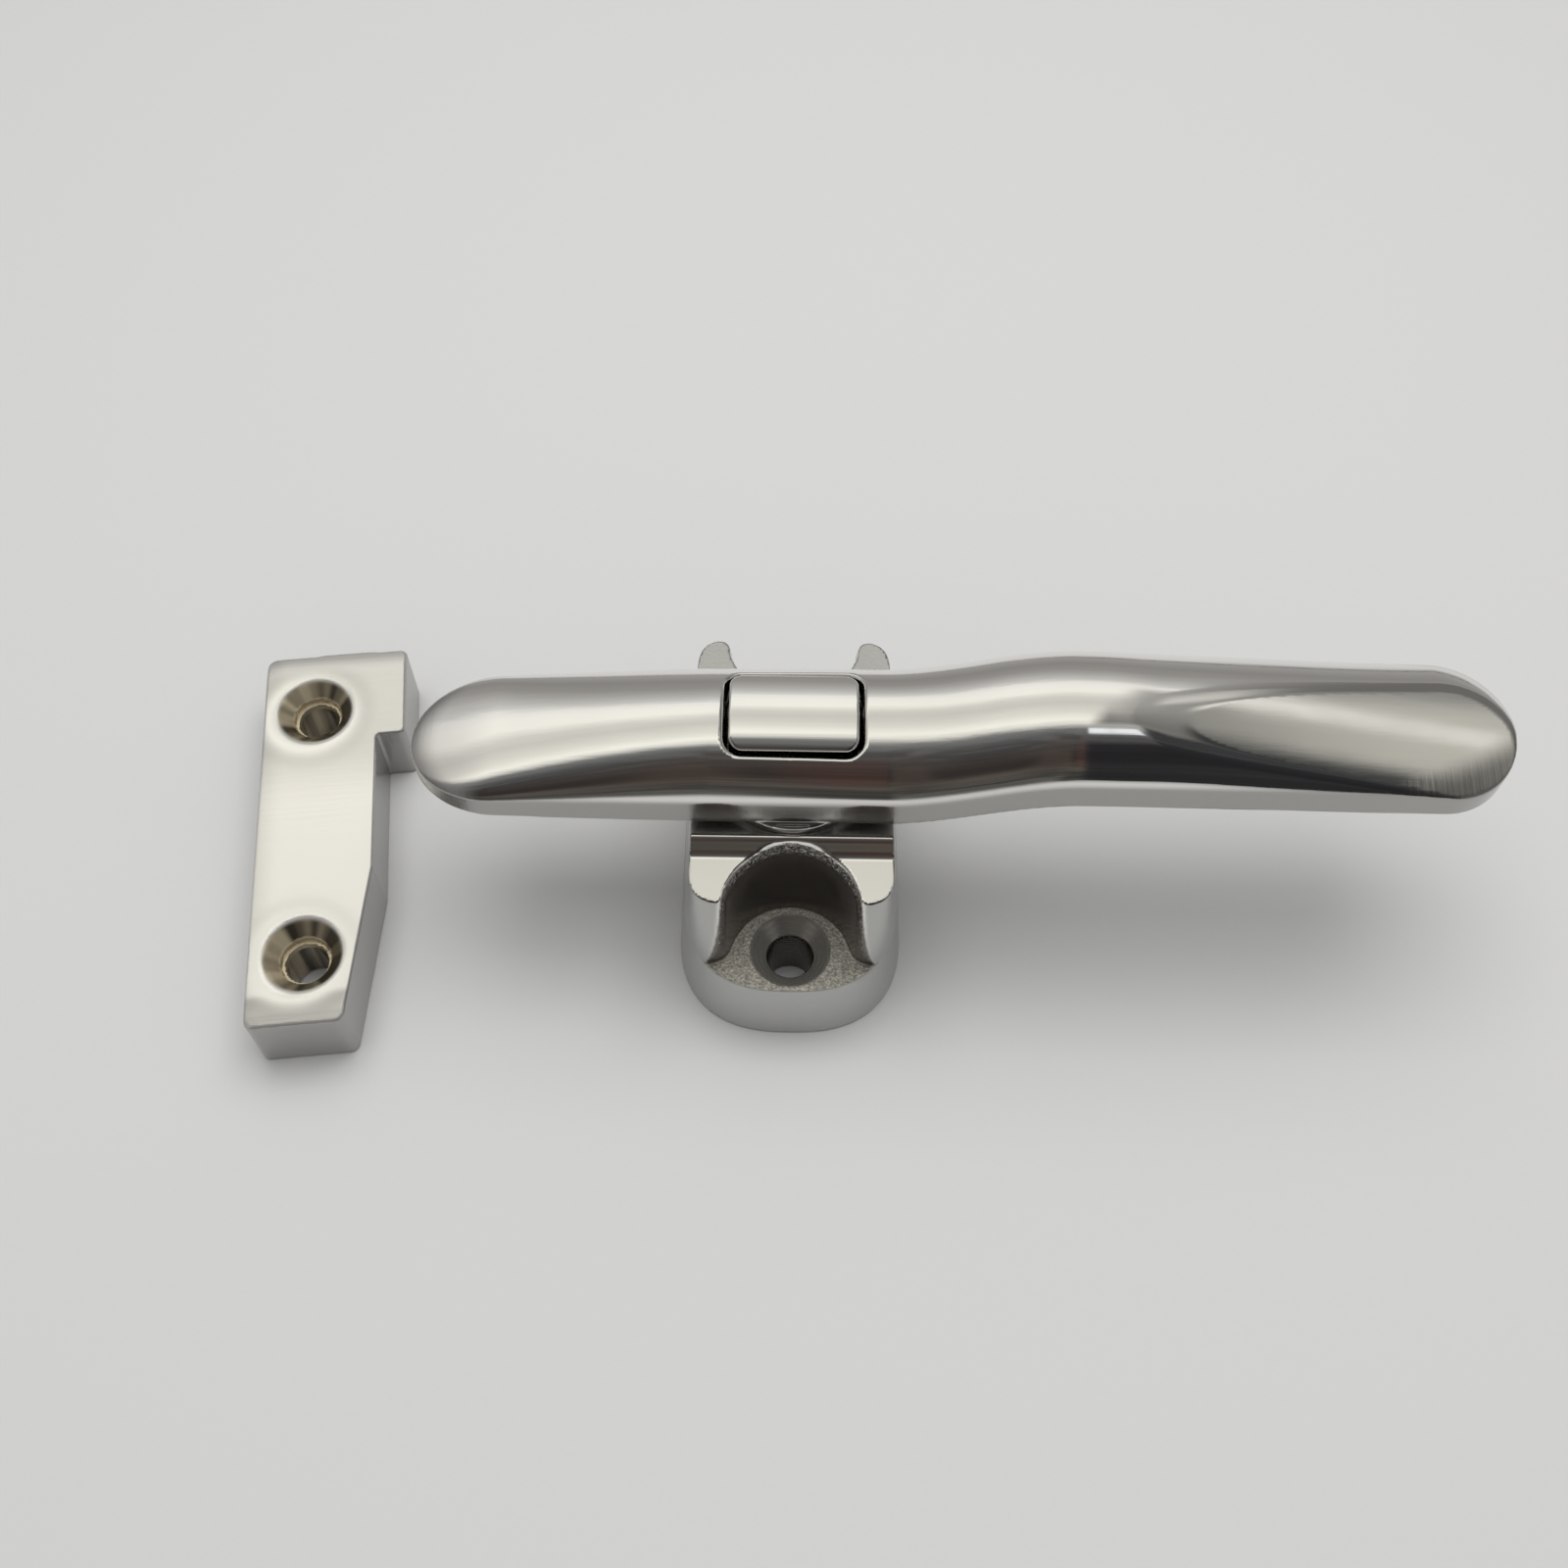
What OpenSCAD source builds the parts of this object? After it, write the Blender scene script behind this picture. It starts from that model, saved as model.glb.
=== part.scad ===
// Door latch: a turning lever with a thumb button on a drafted base, and its keeper beside it.
// Frame: origin on the pivot axis at the base's back face, +Z away from the door, nose at -X, grip at +X.

/* [Base casting] */
// Height of the seat above the door
base_h = 33; // [28:0.5:40]
// Width of the foot
base_w = 35.4; // [33:0.2:40]
// Length of the foot, across the two screws
base_len = 59; // [58:0.5:64]
// Straight part of the foot between its rounded ends
foot_straight = 24.2; // [18:0.1:28]
// Squareness of the rounded ends at the foot, 2 is an ellipse
end_power = 2.4; // [2:0.1:3]
// Squareness of the rounded ends at the seat
top_power = 2.8; // [2:0.1:3.4]
// Draft of the outer wall, sideways per millimetre of height
wall_draft = 0.085; // [0.05:0.005:0.1]
// Length of the level seat under the lever
seat_len = 26.4; // [25.6:0.2:27]
// Drop from the seat to the wings beside the screw pockets
wing_drop = 1.7; // [1:0.1:3]
// Fall of a wing from the ramp to the foot's end
wing_fall = 1; // [0:0.1:1.5]

/* [Screws] */
// Distance between the two base screws
screw_spacing = 43; // [42:0.5:45]
// Clearance hole of the screws
screw_hole_d = 7; // [6.4:0.1:7.5]
// Countersink diameter of the base holes
base_sink_d = 12; // [11:0.2:13]
// Thickness of the base under the screw heads
pocket_floor = 13.3; // [11:0.2:15]

/* [Screw pockets] */
// Radius of the pocket's round back wall at its floor
pocket_r = 9.3; // [8.5:0.1:9.6]
// Growth of the pocket radius per millimetre of height
pocket_draft = 0.05; // [0.02:0.005:0.06]
// Distance of the pocket's back wall from the pivot axis at the floor
pocket_back = 14.4; // [14.2:0.1:15]
// Half width of the flared mouth at the floor
mouth_low = 13.1; // [12:0.1:13.5]
// Half width of the mouth between the wing tips
mouth_high = 10.5; // [10.4:0.1:11.2]

/* [Handle] */
// Reach of the nose from the pivot axis
nose_reach = 56.3; // [52:0.5:62]
// Reach of the grip from the pivot axis
grip_reach = 103.8; // [90:1:115]
// Width of the handle over the hub
hub_w = 23; // [22:0.2:25]
// Width of the nose's tip, before its round end narrows it
nose_w = 21.4; // [18:0.2:22]
// Width of the grip
grip_w = 22.8; // [18:0.2:24]
// Height of the upright side wall along the hub and grip
side_h = 4.9; // [4:0.1:6]
// Height of the upright side wall at the nose's tip
nose_side_h = 3.3; // [2.5:0.1:5]
// Rise of the crown over the side walls at the hub
crown_h = 6.5; // [5:0.1:8]
// Rise of the crown over the side walls towards the nose's tip
nose_crown_h = 0.8; // [0.5:0.1:4]
// Rise of the crown over the side walls at the end of the grip
grip_crown_h = 2.8; // [2:0.1:5]
// Length of the rounded nose end
nose_cap = 13; // [8:0.5:16]
// Length of the rounded grip end
grip_cap = 11; // [8:0.5:16]
// Start of the bend from the pivot axis
bend_start = 13; // [13:0.5:20]
// Length of the bend
bend_len = 28; // [22:0.5:36]
// Rise of the grip over the hub
bend_rise = 5.6; // [2:0.2:8]
// Fall of the grip towards its end
grip_fall = 0.9; // [0:0.1:2]
// Slope of the ground facet towards the grip end, in degrees
facet_fall = 7; // [6:0.5:9]
// Slope of the ground facet towards the front, in degrees
facet_tilt = 10; // [6:0.5:12]
// Where the facet leaves the crown, from the pivot axis
facet_start = 55; // [48:0.5:60]

/* [Thumb button] */
// Length of the button along the handle
button_len = 18.7; // [16:0.1:19.5]
// Width of the button across the handle
button_w = 12.8; // [11:0.1:13.4]
// Shift of the button and its window towards the back of the handle
button_shift = 0.9; // [0:0.1:1]
// Corner radius of the button
button_r = 2; // [0.8:0.1:2.5]
// Gap between the button and its window
button_gap = 0.7; // [0.3:0.05:0.9]
// How far the button stands proud of the crown
button_proud = 0.25; // [0:0.05:0.5]
// Travel of the button
button_travel = 2.5; // [1.5:0.1:2.6]
// Thickness of the handle under the button window
window_floor = 3.6; // [3:0.1:4]

/* [Pivot] */
// Spindle shank diameter
spindle_d = 10; // [9.2:0.1:10.4]
// Spindle head diameter
spindle_head_d = 12.2; // [12:0.1:12.4]
// Spindle head thickness
spindle_head_t = 1.5; // [1.2:0.1:2]
// Outer diameter of the pivot bush
bush_d = 13; // [12:0.1:13.6]
// Diameter of the boss under the handle
boss_d = 25.2; // [22:0.2:25.4]
// Height of the boss under the handle
boss_h = 1.4; // [1:0.1:3]
// Outer diameter of the thrust washer
thrust_d = 20; // [17:0.5:21]
// Thickness of the thrust washer
thrust_t = 1.1; // [0.8:0.1:1.5]
// How far the thrust washer stands out of the seat
thrust_proud = 0.1; // [0.05:0.05:0.3]
// Diameter of the recess in the base's back
recess_d = 19; // [18.4:0.1:19.4]
// Depth of the recess in the base's back
recess_depth = 14; // [13.8:0.1:16]
// Outer diameter of the ring nut
nut_d = 16; // [14.5:0.1:17]
// Thickness of the ring nut
nut_t = 3.6; // [3:0.1:4]
// Thickness of the plain washer
washer_t = 0.8; // [0.5:0.1:1]
// Outer diameter of the plain washer and the disc spring
washer_d = 17; // [15:0.1:17.6]
// Height of the disc spring
disc_h = 1; // [0.8:0.05:1.2]
// Thickness of the disc spring
disc_t = 0.6; // [0.4:0.05:0.7]

/* [Lock works] */
// Diameter of the button's stem
stem_d = 4; // [3.5:0.1:4.2]
// Diameter of the cross pin
cross_pin_d = 2.5; // [2:0.1:2.8]
// Length of the cross pin
cross_pin_len = 15.4; // [14:0.1:16]
// Outer diameter of the button spring
spring_d = 7.4; // [6:0.1:7.5]
// Wire diameter of the button spring
spring_wire = 0.8; // [0.5:0.05:0.9]
// Turns of the button spring
spring_turns = 5; // [4:0.5:6]
// Bore of the spindle round the spring
spring_bore_d = 8; // [7.8:0.1:8.4]
// Turn of the handle between its stops, in degrees
handle_turn = 90; // [60:5:100]

/* [Keeper] */
// Length of the keeper
strike_len = 68.2; // [66:0.2:74]
// Thickness of the keeper
strike_h = 12.5; // [10:0.5:15]
// Screw line to the keeper's plain edge
strike_left = 8.5; // [8:0.1:10]
// Screw line to the keeper's lug side
strike_right = 10.3; // [9.5:0.1:12]
// Reach of the lug from the keeper's side
lug_out = 4.7; // [3:0.1:7]
// Length of the lug along the keeper
lug_len = 17.3; // [12:0.1:20]
// Length of the tapered part of the lug side
strike_taper_len = 26; // [20:0.5:30]
// Narrowing of the lug side along the taper
strike_taper = 3.6; // [2:0.1:4.5]
// Distance between the two keeper screws
strike_spacing = 45; // [42:0.5:47]
// Countersink diameter of the keeper holes
strike_sink_d = 12.6; // [12:0.1:13.4]
// Clearance hole of the keeper screws
strike_hole_d = 6.6; // [6.2:0.1:7]
// Distance of the keeper's screw line from the pivot axis
strike_x = 77.15; // [76:0.25:90]
// Turn of the keeper as it lies, in degrees
strike_yaw = 6.5; // [0:0.5:8]

/* [Hidden] */

steel = [0.78, 0.77, 0.75];
satin_steel = [0.72, 0.71, 0.69];
bronze = [0.66, 0.5, 0.3];
acetal = [0.9, 0.9, 0.87];
spring_steel = [0.45, 0.45, 0.47];

// Clearances
over = 1;             // how far a cut runs past the face it opens
run_fit = 0.05;       // radial clearance of a shaft in its bore
slip_fit = 0.1;       // radial clearance of a loose ring on a shaft
face_gap = 0.03;      // gap between faces that slide on each other
end_gap = 0.4;        // room left at the end of a stroke
seat_fit = 0.02;      // radial gap of a part pressed or screwed home
ring_room = 0.5;      // radial room round what turns inside the stop ring

// Heights of the stack, from the door up
stem_below_pin = 0.9 * cross_pin_d;
pin_z = end_gap + button_travel + stem_below_pin + cross_pin_d / 2;
slot_top = pin_z + cross_pin_d / 2 + end_gap;
nut_top = recess_depth - face_gap - disc_h - washer_t;
nut_z = nut_top - nut_t;
stop_z = pin_z - cross_pin_d / 2 - button_travel - end_gap;
stop_top = nut_z - end_gap;
thrust_z = base_h + thrust_proud - thrust_t;
boss_z = base_h + thrust_proud + face_gap;
under_z = boss_z + boss_h;
floor_z = under_z + window_floor;
button_z = floor_z + button_travel + end_gap;
crown_top = under_z + side_h + crown_h;
spindle_foot = stop_z - end_gap;
stem_foot = pin_z - stem_below_pin;
spring_z = boss_z + end_gap;
spring_pocket = 1.5;   // depth of the spring's seat in the button
spring_top = button_z + spring_pocket;
stem_grip = 1.6;       // depth of the stem's hole over that seat

// Window and the stations where the handle's section starts to change
window_len = button_len + 2 * button_gap;
window_w = button_w + 2 * button_gap;
window_r = button_r + button_gap;
window_rim = 2;        // level part of the hub beyond the window's ends
hub_half = window_len / 2 + window_rim;

// Ring radii of the stop ring
stop_bore_r = spindle_d / 2 + ring_room;
stop_window_r = cross_pin_len / 2 + ring_room;
stop_slack = 2;        // play of the cross pin at each stop, in degrees

// Square neck of the spindle, across its flats and over its corners
neck_af = spindle_d;
neck_round_d = 1.2 * spindle_d;

// Slots of the ring nut
nut_slot_w = 2.4;
nut_slot_depth = 1.2;

// Handle crown: 0.5 is a round arch across, 1 is a flatter one with sloping shoulders
hub_arch = 0.5;
grip_arch = 0.8;
nose_fade = 1.3;       // how late the nose comes down
grip_fade = 1.6;       // how late the grip's crown comes down
ring_crown_points = 18;
cap_flat = 0.03;       // squared share of the width left flat at the two tips

// Keeper: ledge round each screw hole, radii of its plan and upper edges, and its place beside the base
strike_ledge_d = strike_hole_d + 1.2;
strike_ledge_h = 1;
strike_plan_r = 1.6;
strike_end_r = 5;
strike_edge_r = 3;
strike_front_r = 1;
strike_lug_r = 1;
strike_y = -0.6;

$fn = 64;

function clamp01(t) = min(max(t, 0), 1);
function ease(t) = let (c = clamp01(t)) c * c * (3 - 2 * c);
function mix(a, b, t) = a + (b - a) * t;

// Handle section along X
function to_nose(x) = pow(clamp01((-hub_half - x) / (nose_reach - hub_half)), nose_fade);
function to_grip(x) = ease((x - bend_start) / bend_len);
function to_end(x) = clamp01((x - bend_start - bend_len) / (grip_reach - bend_start - bend_len));
function full_half_w(x) = (x < 0 ? mix(hub_w, nose_w, to_nose(x)) : mix(hub_w, grip_w, to_grip(x))) / 2;
function cap_share(x) = max(x < 0 ? (-x - nose_reach + nose_cap) / nose_cap
    : (x - grip_reach + grip_cap) / grip_cap, 0);
function cap_width(x) = sqrt(max(1 - pow(cap_share(x), 2), cap_flat));
function half_w(x) = full_half_w(x) * cap_width(x);
function underside(x) = under_z + bend_rise * to_grip(x) - grip_fall * ease(to_end(x));
function side_top(x) = underside(x) + mix(side_h, nose_side_h, to_nose(x));
function crown_rise(x) = x < 0 ? mix(crown_h, nose_crown_h, to_nose(x))
    : mix(crown_h, grip_crown_h, pow(to_end(x), grip_fade));
function crown_power(x) = mix(hub_arch, grip_arch, to_end(x));
function crown_z(x, share) = side_top(x)
    + crown_rise(x) * cap_width(x) * pow(max(1 - share * share, 0), crown_power(x));

// One closed ring of the handle's section: along the underside, up a side, over the crown and down
function handle_ring(x) = let (w = half_w(x), low = underside(x), top = side_top(x)) concat(
    [[x, -w, low], [x, w, low], [x, w, top]],
    [for (i = [1 : ring_crown_points - 1]) let (s = cos(180 * i / ring_crown_points))
        [x, w * s, crown_z(x, s)]],
    [[x, -w, top]]);

handle_stations = concat(
    [for (i = [0 : 9]) -nose_reach + nose_cap * (1 - cos(90 * i / 10))],
    [for (i = [0 : 12]) mix(-nose_reach + nose_cap, -hub_half, i / 12)],
    [for (i = [0 : 14]) mix(bend_start, bend_start + bend_len, i / 14)],
    [for (i = [1 : 12]) mix(bend_start + bend_len, grip_reach - grip_cap, i / 12)],
    [for (i = [1 : 10]) grip_reach - grip_cap * (1 - sin(90 * i / 10))]);

// Faces that close a ring of n points: one if it is convex, strips if it is the same left and right
function whole_cap(n) = [[for (i = [0 : n - 1]) i]];
function mirrored_cap(n) = let (m = (n - 1) / 2)
    concat([[m - 1, m, m + 1]], [for (i = [1 : m - 1]) [m - i - 1, m - i, m + i, m + i + 1]]);

// Joins rings of equal length into one closed skin
function ring_faces(n, rings, cap) = concat(
    cap,
    [for (r = [0 : rings - 2], i = [0 : n - 1]) let (j = (i + 1) % n)
        [r * n + i, (r + 1) * n + i, (r + 1) * n + j]],
    [for (r = [0 : rings - 2], i = [0 : n - 1]) let (j = (i + 1) % n)
        [r * n + i, (r + 1) * n + j, r * n + j]],
    [for (face = cap) [for (i = [len(face) - 1 : -1 : 0]) (rings - 1) * n + face[i]]]);

module skin(rings, cap) {
    polyhedron(points = [for (ring = rings, p = ring) p], faces = ring_faces(len(rings[0]), len(rings), cap));
}

// Foot outline at a height: straight flanks with round ends that grow squarer towards the seat
foot_points = 18;
foot_levels = 4;
function foot_power(z) = mix(end_power, top_power, z / base_h);
function foot_corner(a, power) = let (c = abs(cos(a)), s = abs(sin(a))) [
    sign(cos(a)) * pow(c, 2 / power), sign(sin(a)) * pow(s, 2 / power)];
function foot_half_w(z) = base_w / 2 - wall_draft * z;
function foot_cap(z) = (base_len - foot_straight) / 2 - wall_draft * z;
function foot_outline(z) = let (w = foot_half_w(z), cap = foot_cap(z))
    [for (i = [0 : 4 * foot_points - 1])
        let (a = 90 * (i + 0.5) / foot_points, p = foot_corner(a, foot_power(z)))
            [w * p[0], cap * p[1] + sign(p[1]) * foot_straight / 2, z]];

// Screw pocket outline at a height, opening towards -Y: round back wall, then an S-curve to the mouth
pocket_top = base_h + over;
pocket_arc_end = 20;
pocket_levels = 8;
level_bunching = 1.3;  // closer levels near the floor, where the mouth flares
flare_power = 1.6;     // how late the mouth flares towards the floor
bend_bulge = 1.01;     // widest part of the wall before the S-curve, as a share of the radius
bend_share = 0.75;     // where that part lies between the round wall and the foot's edge
turn_share = 0.55;     // where the S-curve turns, between the round wall and the mouth
mouth_step = 0.15;     // how far the curve's end stands out of the foot
mouth_splay = 0.6;     // how far the cut widens once it is outside
function bezier(p, t) = pow(1 - t, 3) * p[0] + 3 * t * pow(1 - t, 2) * p[1]
    + 3 * t * t * (1 - t) * p[2] + pow(t, 3) * p[3];
function foot_edge_y(x, z) = -foot_straight / 2
    - foot_cap(z) * pow(max(1 - pow(x / foot_half_w(z), foot_power(z)), 0), 1 / foot_power(z));
function mouth_half(z) = let (t = clamp01((base_h - z) / (base_h - pocket_floor)))
    mix(mouth_high, mouth_low, pow(t, flare_power));
function pocket_side(z) = let (
    r = pocket_r + pocket_draft * (z - pocket_floor),
    yc = -pocket_back + pocket_draft * (z - pocket_floor) - r,
    flare = mouth_half(z),
    edge = foot_edge_y(flare, z),
    start = [r * cos(pocket_arc_end), yc + r * sin(pocket_arc_end)],
    bend = [r * bend_bulge, mix(start[1], edge, bend_share)],
    turn = [mix(r, flare, turn_share), edge])
    concat(
        [for (i = [0 : 10]) let (a = mix(90, pocket_arc_end, i / 10)) [r * cos(a), yc + r * sin(a)]],
        [for (i = [1 : 6]) bezier([start, bend, turn, [flare, edge - mouth_step]], i / 6)],
        [[flare + mouth_splay, edge - mouth_splay], [flare + mouth_splay, -base_len / 2 - over]]);
function pocket_outline(z) = let (side = pocket_side(z), n = len(side)) concat(
    [for (i = [n - 1 : -1 : 0]) [side[i][0], side[i][1], z]],
    [for (i = [1 : n - 1]) [-side[i][0], side[i][1], z]]);

module screw_pocket() {
    rings = [for (i = [0 : pocket_levels])
        pocket_outline(mix(pocket_floor, pocket_top, pow(i / pocket_levels, level_bunching)))];
    skin(rings, mirrored_cap(len(rings[0])));
}

// Side view of the base's top, drawn for +Y and mirrored: level seat, hollow ramp, falling wings
ramp_r = 1.6;
ramp_steps = 5;
ramp_from = 215;       // angles of the hollow's arc
ramp_to = 266;
module top_profile() {
    ramp_x = seat_len / 2 + 0.75 * wing_drop;
    half = concat(
        [[0, base_h], [seat_len / 2, base_h]],
        [for (i = [0 : ramp_steps]) let (a = mix(ramp_from, ramp_to, i / ramp_steps))
            [ramp_x + ramp_r * (cos(a) - cos(ramp_from)), base_h - wing_drop + ramp_r * (1 + sin(a))]],
        [[base_len / 2, base_h - wing_drop - wing_fall]]);
    polygon(concat(half, [[base_len / 2, 0], [-base_len / 2, 0]],
        [for (i = [len(half) - 1 : -1 : 1]) [-half[i][0], half[i][1]]]));
}

module base_screw_cut() {
    translate([0, -screw_spacing / 2, -over]) cylinder(d = screw_hole_d, h = pocket_floor + 2 * over);
    translate([0, -screw_spacing / 2, pocket_floor - (base_sink_d - screw_hole_d) / 2])
        cylinder(d1 = screw_hole_d, d2 = base_sink_d + 2 * over, h = (base_sink_d - screw_hole_d) / 2 + over);
}

module base() {
    color(steel) difference() {
        intersection() {
            skin([for (i = [0 : foot_levels]) foot_outline(base_h * i / foot_levels)],
                whole_cap(4 * foot_points));
            translate([-base_w / 2, 0, 0]) rotate([90, 0, 90]) linear_extrude(base_w) top_profile();
        }
        screw_pocket();
        mirror([0, 1, 0]) screw_pocket();
        base_screw_cut();
        mirror([0, 1, 0]) base_screw_cut();
        translate([0, 0, -over]) cylinder(d = recess_d, h = recess_depth + over);
        translate([0, 0, recess_depth - over]) cylinder(d = bush_d + 2 * seat_fit, h = base_h);
        translate([0, 0, thrust_z]) cylinder(r = thrust_d / 2 + slip_fit, h = thrust_t + over);
    }
}

module tube(outer_r, inner_r, low, high) {
    difference() {
        translate([0, 0, low]) cylinder(r = outer_r, h = high - low);
        translate([0, 0, low - over]) cylinder(r = inner_r, h = high - low + 2 * over);
    }
}

module pivot_bush() {
    color(bronze) tube(bush_d / 2, spindle_d / 2 + run_fit, recess_depth, thrust_z);
}

module thrust_washer() {
    color(acetal) tube(thrust_d / 2, spindle_d / 2 + slip_fit, thrust_z, thrust_z + thrust_t);
}

// Turn of the cross pin beyond its own centre line, where it meets the ring's lugs
pin_half_angle = asin(cross_pin_d / 2 / stop_bore_r) + stop_slack;

module stop_ring() {
    color(satin_steel) difference() {
        tube(recess_d / 2 - seat_fit, stop_bore_r, stop_z, stop_top);
        for (side = [0, 180]) rotate([0, 0, side - pin_half_angle])
            translate([0, 0, stop_z - over]) rotate_extrude(angle = handle_turn + 2 * pin_half_angle)
                translate([stop_bore_r - over, 0])
                    square([stop_window_r - stop_bore_r + over, stop_top - stop_z + 2 * over]);
    }
}

module rounded_block(size, r, low, high) {
    translate([0, 0, low]) linear_extrude(high - low) {
        square([size[0] - 2 * r, size[1]], center = true);
        square([size[0], size[1] - 2 * r], center = true);
        for (sx = [-1, 1], sy = [-1, 1])
            translate([sx * (size[0] / 2 - r), sy * (size[1] / 2 - r)]) circle(r = r);
    }
}

// Square neck with its corners turned down, so that it passes the shank's washers
module neck(gap, low, high) {
    intersection() {
        translate([-neck_af / 2 - gap, -neck_af / 2 - gap, low])
            cube([neck_af + 2 * gap, neck_af + 2 * gap, high - low]);
        translate([0, 0, low]) cylinder(r = neck_round_d / 2 + gap, h = high - low);
    }
}

// Plane ground across the top of the grip
module facet_cut() {
    facet_at_start = underside(facet_start) + side_h + crown_rise(facet_start);
    translate([facet_start, 0, facet_at_start]) rotate([facet_tilt, facet_fall, 0])
        translate([0, -grip_reach / 2, 0]) cube(grip_reach);
}

module handle() {
    color(steel) difference() {
        union() {
            skin([for (x = handle_stations) handle_ring(x)], whole_cap(len(handle_ring(0))));
            translate([0, 0, boss_z]) cylinder(d = boss_d, h = boss_h + window_floor / 2);
        }
        translate([0, button_shift, 0])
            rounded_block([window_len, window_w], window_r, floor_z, crown_top + over);
        translate([0, 0, floor_z - spindle_head_t])
            cylinder(r = spindle_head_d / 2 + seat_fit, h = spindle_head_t + over);
        neck(seat_fit, boss_z - over, floor_z);
        facet_cut();
    }
}

module spindle() {
    color(satin_steel) difference() {
        union() {
            translate([0, 0, spindle_foot])
                cylinder(d = spindle_d, h = floor_z - spindle_head_t - spindle_foot);
            neck(0, boss_z, floor_z - spindle_head_t / 2);
            translate([0, 0, floor_z - spindle_head_t]) cylinder(d = spindle_head_d, h = spindle_head_t);
        }
        translate([0, 0, spindle_foot - over]) cylinder(r = stem_d / 2 + run_fit, h = floor_z);
        translate([0, 0, spring_z]) cylinder(d = spring_bore_d, h = floor_z);
        translate([-spindle_d, -cross_pin_d / 2 - run_fit, spindle_foot - over])
            cube([2 * spindle_d, cross_pin_d + 2 * run_fit, slot_top - spindle_foot + over]);
    }
}

module disc_spring() {
    inner = spindle_d / 2 + slip_fit;
    color(spring_steel) translate([0, 0, nut_top + washer_t]) rotate_extrude()
        polygon([[inner, disc_h - disc_t], [washer_d / 2, 0], [washer_d / 2, disc_t], [inner, disc_h]]);
}

module plain_washer() {
    color(satin_steel) tube(washer_d / 2, spindle_d / 2 + slip_fit, nut_top, nut_top + washer_t);
}

module ring_nut() {
    color(satin_steel) difference() {
        tube(nut_d / 2, spindle_d / 2 + seat_fit, nut_z, nut_top);
        for (turn = [0, 90]) rotate([0, 0, turn + 45])
            for (side = [-1, 1]) translate([side * nut_d / 2 - nut_slot_depth, -nut_slot_w / 2, nut_z - over])
                cube([2 * nut_slot_depth, nut_slot_w, nut_t + 2 * over]);
    }
}

// Crown of the button: the handle's own crown, lifted by the proud step
button_crown_points = 24;
module thumb_button() {
    crown = [for (i = [0 : button_crown_points])
        let (y = button_shift + mix(-window_w / 2, window_w / 2, i / button_crown_points))
        [y, crown_z(0, 2 * y / hub_w) + button_proud]];
    color(steel) difference() {
        intersection() {
            translate([0, button_shift, 0])
                rounded_block([button_len, button_w], button_r, button_z, crown_top + over);
            translate([-window_len / 2, 0, 0]) rotate([90, 0, 90]) linear_extrude(window_len)
                polygon(concat([[button_shift + window_w / 2, 0], [button_shift - window_w / 2, 0]], crown));
        }
        translate([0, 0, button_z - over]) cylinder(d = spring_bore_d, h = spring_pocket + over);
        translate([0, 0, button_z - over])
            cylinder(r = stem_d / 2 + seat_fit, h = spring_pocket + over + stem_grip);
    }
}

module button_stem() {
    color(satin_steel) difference() {
        translate([0, 0, stem_foot]) cylinder(d = stem_d, h = spring_top + stem_grip - stem_foot);
        translate([-stem_d, 0, pin_z]) rotate([0, 90, 0])
            cylinder(r = cross_pin_d / 2 + seat_fit, h = 2 * stem_d);
    }
}

module cross_pin() {
    color(satin_steel) translate([-cross_pin_len / 2, 0, pin_z]) rotate([0, 90, 0])
        cylinder(d = cross_pin_d, h = cross_pin_len);
}

// Coil of round wire, its ends lying against the spindle and the button
spring_steps = 18;
spring_sides = 8;
spring_end_gap = 0.02;
module button_spring() {
    r = (spring_d - spring_wire) / 2;
    low = spring_z + spring_wire / 2 + spring_end_gap;
    high = spring_top - spring_wire / 2 - spring_end_gap;
    coil = [for (i = [0 : spring_turns * spring_steps]) let (
        a = 360 * i / spring_steps,
        z = mix(low, high, ease(i / (spring_turns * spring_steps))))
        [for (j = [0 : spring_sides - 1]) let (b = 360 * j / spring_sides, q = r + spring_wire / 2 * cos(b))
            [q * cos(a), q * sin(a), z + spring_wire / 2 * sin(b)]]];
    color(spring_steel) skin(coil, whole_cap(spring_sides));
}

// Keeper: plan with the lug, cut to a side view and an end view whose upper edges are rounded
module strike_plan() {
    end = strike_len / 2;
    lug_y = end - lug_len;
    r = strike_plan_r;
    taper_y = -end + strike_taper_len;
    hull() {
        for (p = [[-strike_left + r, end - r], [-strike_left + r, -end + r],
                [strike_right - strike_taper - r, -end + r], [strike_right - r, taper_y],
                [strike_right - r, end - r]])
            translate(p) circle(r = r);
    }
    translate([0, lug_y]) square([strike_right + lug_out - r, lug_len]);
    translate([0, lug_y]) square([strike_right + lug_out, lug_len - r]);
    translate([strike_right + lug_out - r, end - r]) circle(r = r);
}

// Rectangle from (x0, 0) to (x1, h) whose upper corners are eased by shallow arcs of the given radii
module eased_profile(x0, x1, h, r0, r1) {
    steps = 8;
    sweep = 40;
    polygon(concat([[x1, 0], [x0, 0]],
        [for (i = [steps : -1 : 0]) let (a = sweep * i / steps)
            [x0 + r0 * (sin(sweep) - sin(a)), h - r0 * (1 - cos(a))]],
        [for (i = [0 : steps]) let (a = sweep * i / steps)
            [x1 - r1 * (sin(sweep) - sin(a)), h - r1 * (1 - cos(a))]]));
}

module strike_screw_cut() {
    cone_h = (strike_sink_d - strike_ledge_d) / 2;
    translate([0, 0, -over]) cylinder(d = strike_hole_d, h = strike_h + 2 * over);
    translate([0, 0, strike_h - cone_h - strike_ledge_h]) cylinder(d = strike_ledge_d, h = strike_h);
    translate([0, 0, strike_h - cone_h])
        cylinder(d1 = strike_ledge_d, d2 = strike_sink_d + 2 * over, h = cone_h + over);
}

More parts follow.
